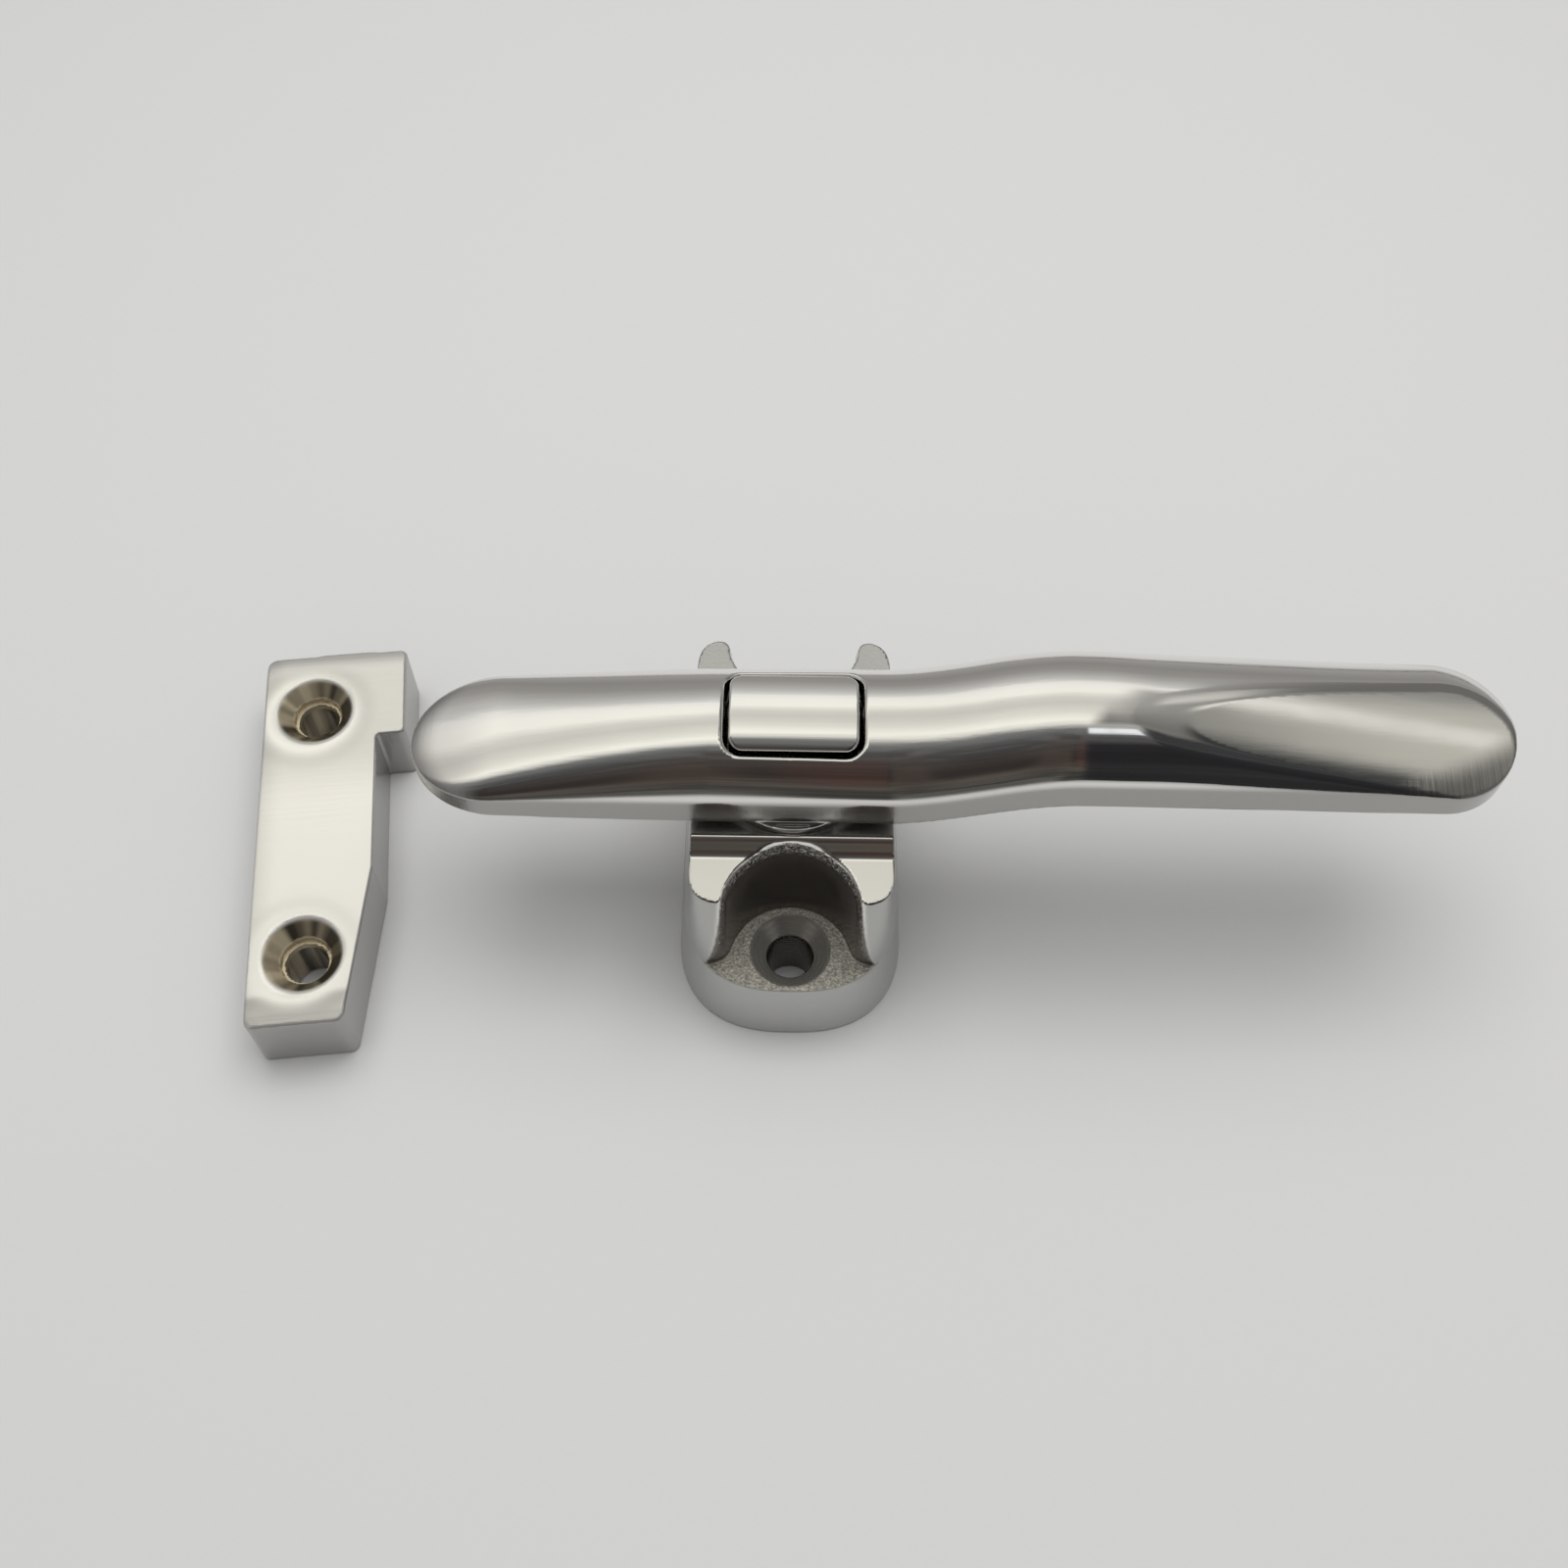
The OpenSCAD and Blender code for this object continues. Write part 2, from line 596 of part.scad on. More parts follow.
module strike() {
    color(satin_steel) translate([-strike_x, strike_y, 0]) rotate([0, 0, strike_yaw]) difference() {
        intersection() {
            linear_extrude(strike_h) strike_plan();
            translate([-strike_len, 0, 0]) rotate([90, 0, 90]) linear_extrude(2 * strike_len)
                eased_profile(-strike_len / 2, strike_len / 2, strike_h, strike_front_r, strike_end_r);
            translate([0, strike_len, 0]) rotate([90, 0, 0]) linear_extrude(2 * strike_len)
                eased_profile(-strike_left, strike_right + lug_out, strike_h, strike_edge_r, strike_lug_r);
        }
        for (side = [-1, 1]) translate([0, side * strike_spacing / 2, 0]) strike_screw_cut();
    }
}

base();
pivot_bush();
thrust_washer();
stop_ring();
handle();
spindle();
disc_spring();
plain_washer();
ring_nut();
thumb_button();
button_stem();
button_spring();
cross_pin();
strike();
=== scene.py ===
"""Looks of a cast door latch: a turning lever with a thumb button on its base, and the keeper beside it.

The castings are grown from distance fields that repeat the solids' own laws and round their edges, the turned
rings and the coil come from Geometry Nodes, and every finish is procedural.
"""

import logging
import math
from collections.abc import Callable
from dataclasses import dataclass, field
from enum import Enum

import bpy
import numpy as np
from mathutils import Matrix, Vector

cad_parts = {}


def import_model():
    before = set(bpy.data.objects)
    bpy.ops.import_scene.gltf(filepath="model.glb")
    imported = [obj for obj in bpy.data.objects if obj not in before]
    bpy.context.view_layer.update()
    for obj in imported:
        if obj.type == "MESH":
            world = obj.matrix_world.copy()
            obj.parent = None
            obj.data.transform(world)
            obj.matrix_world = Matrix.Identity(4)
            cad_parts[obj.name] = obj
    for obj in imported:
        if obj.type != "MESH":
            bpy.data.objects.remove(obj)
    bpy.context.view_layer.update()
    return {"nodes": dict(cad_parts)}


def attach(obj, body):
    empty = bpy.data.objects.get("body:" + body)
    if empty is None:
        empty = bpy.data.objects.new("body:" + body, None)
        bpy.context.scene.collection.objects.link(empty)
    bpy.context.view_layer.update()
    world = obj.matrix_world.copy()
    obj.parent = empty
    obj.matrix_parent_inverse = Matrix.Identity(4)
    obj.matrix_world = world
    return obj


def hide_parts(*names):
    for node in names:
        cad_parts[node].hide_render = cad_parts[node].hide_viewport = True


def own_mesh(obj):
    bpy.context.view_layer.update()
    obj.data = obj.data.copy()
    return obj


LOG = logging.getLogger("door_latch")

Array = np.ndarray
Field = Callable[[Array, Array, Array], Array]
Triple = tuple[float, float, float]
Pair = tuple[float, float]
Colour = Triple

MILLIMETRE = 0.001
SETTLING_ROUNDS = 5
SETTLING_STEP = 0.002
NORMAL_STEP = 0.02


class Slot(Enum):
    """The record's material slots."""

    POLISHED = "polished_steel"
    SATIN = "satin_steel"
    TURNED = "turned_steel"
    SPRING = "spring_steel"
    BRONZE = "bronze"
    ACETAL = "acetal"


class Body(Enum):
    """The frame's bodies."""

    MOUNTING = "mounting"
    LEVER = "lever"
    BUTTON = "button"


class ToolLines(Enum):
    """How the lines of a lathe tool lie: one over the other in a bore, or in rings on a face."""

    LEVELS = "BANDS"
    RINGS = "RINGS"


# Distance fields, in millimetres: negative inside


def clamp01(t: Array) -> Array:
    """t held between 0 and 1."""
    return np.clip(t, 0.0, 1.0)


def ease(t: Array) -> Array:
    """Smooth step from 0 to 1."""
    c = clamp01(t)
    return c * c * (3.0 - 2.0 * c)


def mix(a: float | Array, b: float | Array, t: Array) -> Array:
    """a at t 0 and b at t 1."""
    return a + (b - a) * t


def meet(a: Array, b: Array, radius: float) -> Array:
    """Material inside both fields, with the edge between them rounded.

    Args:
        a: First field.
        b: Second field.
        radius: Radius of the rounded edge.

    Returns:
        The field of what the two share.
    """
    over = np.hypot(np.maximum(radius + a, 0.0), np.maximum(radius + b, 0.0))
    return np.minimum(-radius, np.maximum(a, b)) + over


def join(a: Array, b: Array, radius: float) -> Array:
    """Material inside either field, with a hollow fillet between them.

    Args:
        a: First field.
        b: Second field.
        radius: Radius of the fillet.

    Returns:
        The field of the two together.
    """
    over = np.hypot(np.maximum(radius - a, 0.0), np.maximum(radius - b, 0.0))
    return np.maximum(radius, np.minimum(a, b)) - over


def cut(a: Array, tool: Array, radius: float) -> Array:
    """a without the tool, with the edge that the tool leaves rounded."""
    return meet(a, -tool, radius)


def near(distance: Array, reach: float, soft: float) -> Array:
    """1 where a distance is under reach on either side, fading out over soft."""
    return 1.0 - ease((np.abs(distance) - reach) / soft)


def rounded_box(x: Array, y: Array, size: Pair, radius: float) -> Array:
    """Distance to a rectangle about the origin whose corners are rounded.

    Args:
        x: Places across.
        y: Places along.
        size: Width and length of the rectangle.
        radius: Radius of its corners.

    Returns:
        The distance, negative inside.
    """
    u = np.abs(x) - size[0] / 2 + radius
    v = np.abs(y) - size[1] / 2 + radius
    return np.minimum(np.maximum(u, v), 0.0) + np.hypot(np.maximum(u, 0.0), np.maximum(v, 0.0)) - radius


def polygon(x: Array, y: Array, corners: list[Pair]) -> Array:
    """Signed distance to a closed polygon given anticlockwise.

    Args:
        x: Places across.
        y: Places along.
        corners: The polygon's corners.

    Returns:
        The distance, negative inside.
    """
    nearest = np.full(np.shape(x), np.inf)
    crossings = np.zeros(np.shape(x), bool)
    for (ax, ay), (bx, by) in zip(corners, corners[1:] + corners[:1], strict=True):
        ex, ey = bx - ax, by - ay
        wx, wy = x - ax, y - ay
        along = np.clip((wx * ex + wy * ey) / (ex * ex + ey * ey), 0.0, 1.0)
        nearest = np.minimum(nearest, np.hypot(wx - ex * along, wy - ey * along))
        above = (ay > y) != (by > y)
        crossings ^= above & (wx < ex * (y - ay) / (by - ay if by != ay else 1.0))
    return np.where(crossings, -nearest, nearest)


def evened(shape: Field, step: float = 0.01) -> Field:
    """A field divided by its slope, so that near its surface it is about a distance.

    Args:
        shape: The field.
        step: Step over which its slope is measured.

    Returns:
        The evened field.
    """

    def distance(x: Array, y: Array, z: Array) -> Array:
        """The evened field at some places.

        Args:
            x: Places across.
            y: Places along.
            z: Heights.

        Returns:
            About the distance to the surface, negative inside.
        """
        here = shape(x, y, z)
        squares = (
            (shape(x + step, y, z) - here) ** 2
            + (shape(x, y + step, z) - here) ** 2
            + (shape(x, y, z + step) - here) ** 2
        )
        return here / np.maximum(np.sqrt(squares) / step, 1e-3)

    return distance


# From a field to a piece


def slope_of(shape: Field, points: Array, step: float) -> Array:
    """Gradient of a field at some points, by central differences.

    Args:
        shape: The field.
        points: The points, one a row.
        step: Half the width of a difference.

    Returns:
        The gradients, one a row.
    """
    found = np.empty_like(points)
    for axis in range(3):
        ahead, behind = points.copy(), points.copy()
        ahead[:, axis] += step
        behind[:, axis] -= step
        found[:, axis] = (shape(*ahead.T) - shape(*behind.T)) / (2 * step)
    return found


def surface_net(shape: Field, low: Array, high: Array, cell: float) -> tuple[Array, Array]:
    """Wraps a field's surface in quads, one corner in each grid cell that the surface crosses.

    Args:
        shape: The field.
        low: Lowest corner of the grid.
        high: Highest corner of the grid.
        cell: Side of a grid cell.

    Returns:
        The net's points and its quads, facing outwards.
    """
    counts = np.ceil((high - low) / cell).astype(int) + 1
    ticks = [low[axis] + cell * np.arange(counts[axis]) for axis in range(3)]
    values = shape(*np.meshgrid(*ticks, indexing="ij"))
    inside = values < 0
    corners = [(i, j, k) for i in (0, 1) for j in (0, 1) for k in (0, 1)]

    def shifted(grid: Array, corner: tuple[int, int, int]) -> Array:
        """The grid's values at one corner of every cell."""
        return grid[tuple(slice(c, n - 1 + c) for c, n in zip(corner, grid.shape, strict=True))]

    filled = sum(shifted(inside, corner).astype(np.uint8) for corner in corners)
    cells = np.argwhere((filled > 0) & (filled < len(corners)))
    number = np.full(counts - 1, -1, np.int64)
    number[tuple(cells.T)] = np.arange(len(cells))
    total, hits = np.zeros((len(cells), 3)), np.zeros(len(cells))
    for start in corners:
        for axis in range(3):
            if start[axis]:
                continue
            end = tuple(1 if a == axis else start[a] for a in range(3))
            first = values[tuple((cells + start).T)]
            second = values[tuple((cells + end).T)]
            crossed = (first < 0) != (second < 0)
            share = np.where(crossed, first / np.where(crossed, first - second, 1.0), 0.0)
            place = np.array(start, float) + share[:, None] * (np.array(end) - np.array(start))
            total += place * crossed[:, None]
            hits += crossed
    points = low + cell * (cells + total / hits[:, None])
    quads = []
    for axis in range(3):
        b, c = (axis + 1) % 3, (axis + 2) % 3
        front = inside[tuple(slice(0, -1) if a == axis else slice(1, -1) for a in range(3))]
        back = inside[tuple(slice(1, None) if a == axis else slice(1, -1) for a in range(3))]
        edges = np.argwhere(front != back)
        leaving = front[tuple(edges.T)]
        edges[:, b] += 1
        edges[:, c] += 1
        ring = []
        for db, dc in ((-1, -1), (0, -1), (0, 0), (-1, 0)):
            around = edges.copy()
            around[:, b] += db
            around[:, c] += dc
            ring.append(number[tuple(around.T)])
        faces = np.stack(ring, axis=1)
        quads.append(np.where(leaving[:, None], faces, faces[:, ::-1]))
    return points, np.concatenate(quads)


@dataclass
class Casting:
    """A piece grown from a field.

    Args:
        name: The piece's name.
        shape: Its field, in millimetres.
        low: Lowest corner of the box that holds it.
        high: Highest corner of that box.
        cell: Size of the net's cells.
        marks: Fields of surface finish, kept as attributes for the material.
    """

    name: str
    shape: Field
    low: Triple
    high: Triple
    cell: float
    marks: dict[str, Field] = field(default_factory=dict)

    def build(self) -> bpy.types.Object:
        """Nets the field, settles the net on it and gives the mesh the field's own normals.

        Returns:
            The piece, not yet dressed.
        """
        room = 2.0 * self.cell
        low, high = np.array(self.low) - room, np.array(self.high) + room
        points, quads = surface_net(self.shape, low, high, self.cell)
        for _ in range(SETTLING_ROUNDS):
            slope = slope_of(self.shape, points, SETTLING_STEP)
            steep = np.maximum((slope**2).sum(1), 0.05)
            step = np.clip(self.shape(*points.T) / steep, -self.cell, self.cell)
            points -= slope * step[:, None]
        normals = slope_of(self.shape, points, NORMAL_STEP)
        normals /= np.maximum(np.linalg.norm(normals, axis=1, keepdims=True), 1e-9)
        return self.mesh_of(points, quads, normals)

    def mesh_of(self, points: Array, quads: Array, normals: Array) -> bpy.types.Object:
        """Makes the Blender piece of a settled net, with its marks as point attributes.

        Args:
            points: The net's points, in millimetres.
            quads: Its faces, as four point numbers a row.
            normals: Its normals, one for each point.

        Returns:
            The piece.
        """
        mesh = bpy.data.meshes.new(self.name)
        mesh.vertices.add(len(points))
        mesh.vertices.foreach_set("co", (points * MILLIMETRE).ravel())
        mesh.loops.add(quads.size)
        mesh.loops.foreach_set("vertex_index", quads.ravel())
        mesh.polygons.add(len(quads))
        mesh.polygons.foreach_set("loop_start", np.arange(0, quads.size, 4))
        mesh.polygons.foreach_set("loop_total", np.full(len(quads), 4))
        mesh.update()
        mesh.validate()
        for name, mark in self.marks.items():
            values = np.clip(mark(*points.T), 0.0, 1.0)
            attribute = mesh.attributes.new(name, "FLOAT", "POINT")
            attribute.data.foreach_set("value", values.astype(np.float32))
        mesh.normals_split_custom_set_from_vertices(normals)
        piece = bpy.data.objects.new(self.name, mesh)
        bpy.context.scene.collection.objects.link(piece)
        return piece


# Node trees


@dataclass
class Value:
    """A node socket that can stand in a Python expression.

    Args:
        bench: The bench that its tree is on.
        socket: The socket.
    """

    bench: "Bench"
    socket: bpy.types.NodeSocket

    def joined(self, operation: str, *terms: "Value | float") -> "Value":
        """One Math node on these terms."""
        return self.bench.node("ShaderNodeMath", {"operation": operation}, dict(enumerate(terms))).out()

    def __add__(self, other: "Value | float") -> "Value":
        """self + other."""
        return self.joined("ADD", self, other)

    def __radd__(self, other: float) -> "Value":
        """other + self."""
        return self.joined("ADD", other, self)

    def __sub__(self, other: "Value | float") -> "Value":
        """self - other."""
        return self.joined("SUBTRACT", self, other)

    def __rsub__(self, other: float) -> "Value":
        """other - self."""
        return self.joined("SUBTRACT", other, self)

    def __mul__(self, other: "Value | float") -> "Value":
        """self * other."""
        return self.joined("MULTIPLY", self, other)

    def __rmul__(self, other: float) -> "Value":
        """other * self."""
        return self.joined("MULTIPLY", other, self)

    def __truediv__(self, other: "Value | float") -> "Value":
        """self / other."""
        return self.joined("DIVIDE", self, other)

    def __abs__(self) -> "Value":
        """|self|."""
        return self.joined("ABSOLUTE", self)

    def between(self, low: float, high: float) -> "Value":
        """Smooth step over self.

        Args:
            low: Where the step starts at 0.
            high: Where it reaches 1.

        Returns:
            The step.
        """
        settings = {"interpolation_type": "SMOOTHSTEP"}
        places = {"Value": self, "From Min": low, "From Max": high, "To Min": 0.0, "To Max": 1.0}
        return self.bench.node("ShaderNodeMapRange", settings, places).out()

    def within(self, middle: float, reach: float, soft: float) -> "Value":
        """1 where self lies within reach of the middle, fading out over soft about that reach."""
        return 1.0 - abs(self - middle).between(max(reach - soft / 2, 0.0), reach + soft / 2)


@dataclass
class Placed:
    """A node in its tree.

    Args:
        bench: The bench that the tree is on.
        raw: The node.
    """

    bench: "Bench"
    raw: bpy.types.Node

    def out(self, socket: int | str = 0) -> Value:
        """One of the node's outputs."""
        return Value(self.bench, self.raw.outputs[socket])


@dataclass
class Bench:
    """A node tree under work, of a material, of the world or of a modifier.

    Args:
        tree: The tree.
    """

    tree: bpy.types.NodeTree

    def node(self, kind: str, settings: dict | None = None, sockets: dict | None = None) -> Placed:
        """Adds a node.

        Args:
            kind: The node's type.
            settings: Its own settings, set first.
            sockets: Values or links of its inputs, by name or number.

        Returns:
            The node in its tree.
        """
        made = self.tree.nodes.new(kind)
        for name, value in (settings or {}).items():
            if name == "stops":
                self.set_stops(made, value)
            else:
                setattr(made, name, value)
        for key, value in (sockets or {}).items():
            if isinstance(value, Value):
                self.tree.links.new(value.socket, made.inputs[key])
            else:
                made.inputs[key].default_value = value
        return Placed(self, made)

    @staticmethod
    def set_stops(ramp: bpy.types.Node, stops: list[tuple[float, Colour]]) -> None:
        """Gives a colour ramp its stops.

        Args:
            ramp: The ramp's node.
            stops: Place from 0 to 1 and colour of each stop.
        """
        elements = ramp.color_ramp.elements
        while len(elements) > 1:
            elements.remove(elements[-1])
        elements[0].position, elements[0].color = stops[0][0], (*stops[0][1], 1.0)
        for place, colour in stops[1:]:
            elements.new(place).color = (*colour, 1.0)

    def blend(self, share: Value | float, a: Value | Colour, b: Value | Colour) -> Value:
        """Mixes two colours.

        Args:
            share: 0 for the first colour, 1 for the second.
            a: The first colour.
            b: The second colour.

        Returns:
            The mixed colour.
        """
        settings = {"data_type": "RGBA"}
        first, second = (c if isinstance(c, Value) else (*c, 1.0) for c in (a, b))
        return self.node("ShaderNodeMix", settings, {0: share, 6: first, 7: second}).out(2)

    def places(self, scale: Triple = (1.0, 1.0, 1.0), turn: float = 0.0) -> Value:
        """Object coordinates, turned about Z and stretched.

        Args:
            scale: Factor along each axis.
            turn: Turn about Z, in radians.

        Returns:
            The coordinates.
        """
        coords = self.node("ShaderNodeTexCoord").out("Object")
        sockets = {"Vector": coords, "Rotation": (0.0, 0.0, turn)}
        turned = self.node("ShaderNodeMapping", {"vector_type": "TEXTURE"}, sockets).out()
        settings = {"operation": "MULTIPLY"}
        return self.node("ShaderNodeVectorMath", settings, {0: turned, 1: scale}).out()

    def noise(self, places: Value, detail: float = 2.0) -> Value:
        """Cloudy values about 0.5."""
        sockets = {"Vector": places, "Scale": 1.0, "Detail": detail, "Roughness": 0.55}
        return self.node("ShaderNodeTexNoise", None, sockets).out(0)

    def cloud(self, per_metre: float, detail: float = 3.0) -> Value:
        """Noise of one size in all directions."""
        return self.noise(self.places((per_metre, per_metre, per_metre)), detail)

    def tool_lines(self, lines: ToolLines, per_metre: float, bend: float = 0.6, detail: float = 1.0) -> Value:
        """Fine lines left by a lathe tool.

        Args:
            lines: How they lie.
            per_metre: How close they lie.
            bend: How unsteady they are.
            detail: How broken they are.

        Returns:
            0 between the lines and 1 on them.
        """
        settings = {"wave_type": lines.value, f"{lines.value.lower()}_direction": "Z"}
        sockets = {"Vector": self.places(), "Scale": per_metre, "Distortion": bend, "Detail": detail}
        return self.node("ShaderNodeTexWave", settings, sockets).out(1)

    def bump(self, height: Value, strength: float, distance: float) -> Value:
        """Normals bent by a height."""
        sockets = {"Strength": strength, "Distance": distance, "Height": height}
        return self.node("ShaderNodeBump", None, sockets).out()

    def mark(self, name: str) -> Value:
        """A finish attribute of the mesh."""
        return self.node("ShaderNodeAttribute", {"attribute_name": name}).out("Fac")


def blank_material(name: str) -> tuple[bpy.types.Material, Bench]:
    """Makes a node material whose tree is still empty.

    Args:
        name: The material's name.

    Returns:
        The material and the bench of its tree.
    """
    material = bpy.data.materials.new(name)
    material.use_nodes = True
    material.node_tree.nodes.clear()
    return material, Bench(material.node_tree)


def close_surface(bench: Bench, sockets: dict) -> None:
    """Ends a material's tree in a Principled surface with these inputs."""
    shader = bench.node("ShaderNodeBsdfPrincipled", None, sockets).out()
    bench.node("ShaderNodeOutputMaterial", None, {"Surface": shader})


def dimmed(colour: Colour, share: float) -> Colour:
    """A colour at a share of its brightness."""
    return tuple(share * channel for channel in colour)


@dataclass(frozen=True)
class PolishedSteel:
    """Mirror polished stainless casting, with the faint lines of the buff and brushed side walls.

    Args:
        name: The material's name.
        tint: Colour of the metal.
        flank_tint: Colour of the brushed side walls.
        dull: Roughness of the mirror.
        cloud_dull: Roughness that handling adds in places.
        line_dull: Roughness that the buffing lines add.
        flank_dull: Roughness that the side walls have more.
        brush_dull: Roughness that their brush lines add.
        ground_dull: Roughness that the ground face has more.
        line_height: Height of the buffing lines beside the slow waves.
        flank_height: Height of the brush lines beside them.
        ground_calm: Share of lines and waves that the ground face lacks.
        grain: Stretch of the buffing lines, lines per metre along each axis.
        brush: Stretch of the brush lines.
        wave: Stretch of the slow waves.
    """

    name: str
    tint: Colour = (0.90, 0.89, 0.865)
    flank_tint: Colour = (0.42, 0.415, 0.40)
    dull: float = 0.04
    cloud_dull: float = 0.03
    line_dull: float = 0.02
    flank_dull: float = 0.13
    brush_dull: float = 0.06
    ground_dull: float = 0.015
    line_height: float = 0.35
    flank_height: float = 1.5
    ground_calm: float = 0.75
    grain: Triple = (14.0, 900.0, 900.0)
    brush: Triple = (1400.0, 60.0, 60.0)
    wave: Triple = (22.0, 160.0, 160.0)

    def build(self) -> bpy.types.Material:
        """Makes the finish.

        Returns:
            The material.
        """
        material, bench = blank_material(self.name)
        flank, ground = bench.mark("flank"), bench.mark("ground")
        lines = bench.noise(bench.places(self.grain), 3.0)
        brush = bench.noise(bench.places(self.brush), 3.0)
        waves = bench.noise(bench.places(self.wave), 2.0)
        cloud = bench.cloud(55.0)
        handled, buffed = cloud.between(0.35, 0.75), lines.between(0.4, 0.8)
        dull = self.dull + self.cloud_dull * handled + self.line_dull * buffed
        dull = dull + flank * (self.flank_dull + self.brush_dull * brush) + ground * self.ground_dull
        tint = bench.blend(cloud.between(0.3, 0.8), self.tint, dimmed(self.tint, 0.96))
        tint = bench.blend(flank, tint, self.flank_tint)
        height = (lines * self.line_height + waves) * (1.0 - ground * self.ground_calm)
        height = height + flank * brush * self.flank_height
        bump = bench.bump(height, strength=0.05, distance=0.0004)
        close_surface(bench, {"Base Color": tint, "Metallic": 1.0, "Roughness": dull, "Normal": bump})
        return material


@dataclass(frozen=True)
class BaseSteel:
    """The base casting: polished seat and rims, satin outer wall, rough cast pockets, turned countersinks,
    and painted shade in the screw bores.

    Each name that ends in dull is a roughness that is added, and each in matt a share of metal that is lost.

    Args:
        name: The material's name.
        tint: Colour of the polished metal.
        wall_tint: Colour of the satin outer wall.
        scoop_tint: Colour of the pockets' dark cast walls.
        grain_tint: Colour of the blasted pocket floors.
        grain_low: Share of that colour in the floors' hollows.
        sink_tint: Colour of the turned countersinks.
        bore_shade_tint: Painted shade, the near black colour inside the screw holes under them.
        burr_share: How much of the polished colour the burrs under a pocket's rim show.
    """

    name: str = "base_steel"
    tint: Colour = (0.88, 0.87, 0.83)
    wall_tint: Colour = (0.51, 0.51, 0.498)
    scoop_tint: Colour = (0.135, 0.120, 0.106)
    grain_tint: Colour = (0.68, 0.645, 0.56)
    grain_low: float = 0.6
    sink_tint: Colour = (0.35, 0.335, 0.30)
    bore_shade_tint: Colour = (0.12, 0.113, 0.10)
    burr_share: float = 0.65
    dull: float = 0.07
    cloud_dull: float = 0.05
    satin_dull: float = 0.22
    scoop_dull: float = 0.1
    grain_dull: float = 0.2
    turned_dull: float = 0.14
    ring_dull: float = 0.08
    grain_matt: float = 0.55
    sink_matt: float = 0.32
    burr_matt: float = 0.35
    scoop_matt: float = 0.25

    def build(self) -> bpy.types.Material:
        """Makes the finish.

        Returns:
            The material.
        """
        material, bench = blank_material(self.name)
        scoop, grain, satin = bench.mark("scoop"), bench.mark("grain"), bench.mark("satin")
        turned, burr, bore = bench.mark("turned"), bench.mark("burr"), bench.mark("bore")
        fine = bench.cloud(2600.0, 1.0)
        cells = {"Vector": bench.places(), "Scale": 2300.0}
        grit = bench.node("ShaderNodeTexVoronoi", {"feature": "F1"}, cells).out("Distance")
        scrub = bench.noise(bench.places((1500.0, 1500.0, 40.0)), 2.0)
        cloud, waves = bench.cloud(70.0), bench.cloud(120.0, 2.0)
        rings = bench.tool_lines(ToolLines.LEVELS, 420.0)
        dull = self.dull + self.cloud_dull * cloud.between(0.35, 0.75)
        dull = dull + satin * self.satin_dull + scoop * self.scoop_dull + grain * self.grain_dull
        dull = dull + turned * (self.turned_dull + self.ring_dull * rings)
        rough = (grain * (1.0 - turned) + burr) * (grit * 1.6 + fine * 1.4)
        height = rough + scrub * satin * 0.1 + turned * rings * 0.1 + waves * 0.1
        bump = bench.bump(height, strength=0.8, distance=0.0003)
        tint = bench.blend(satin * (1.0 - scoop), self.tint, self.wall_tint)
        tint = bench.blend(scoop, tint, self.scoop_tint)
        low_tint = dimmed(self.grain_tint, self.grain_low)
        tint = bench.blend(grain, tint, bench.blend(fine.between(0.36, 0.62), low_tint, self.grain_tint))
        tint = bench.blend(burr * fine.between(0.50, 0.58) * self.burr_share, tint, self.tint)
        tint = bench.blend(turned, tint, self.sink_tint)
        # Painted shade: the screw bores are coloured near black for the shade deep inside them.
        tint = bench.blend(bore, tint, self.bore_shade_tint)
        metal = 1.0 - grain * (1.0 - turned) * self.grain_matt - turned * (1.0 - bore) * self.sink_matt
        metal = metal - burr * self.burr_matt - scoop * (1.0 - burr) * self.scoop_matt
        close_surface(bench, {"Base Color": tint, "Metallic": metal, "Roughness": dull, "Normal": bump})
        return material


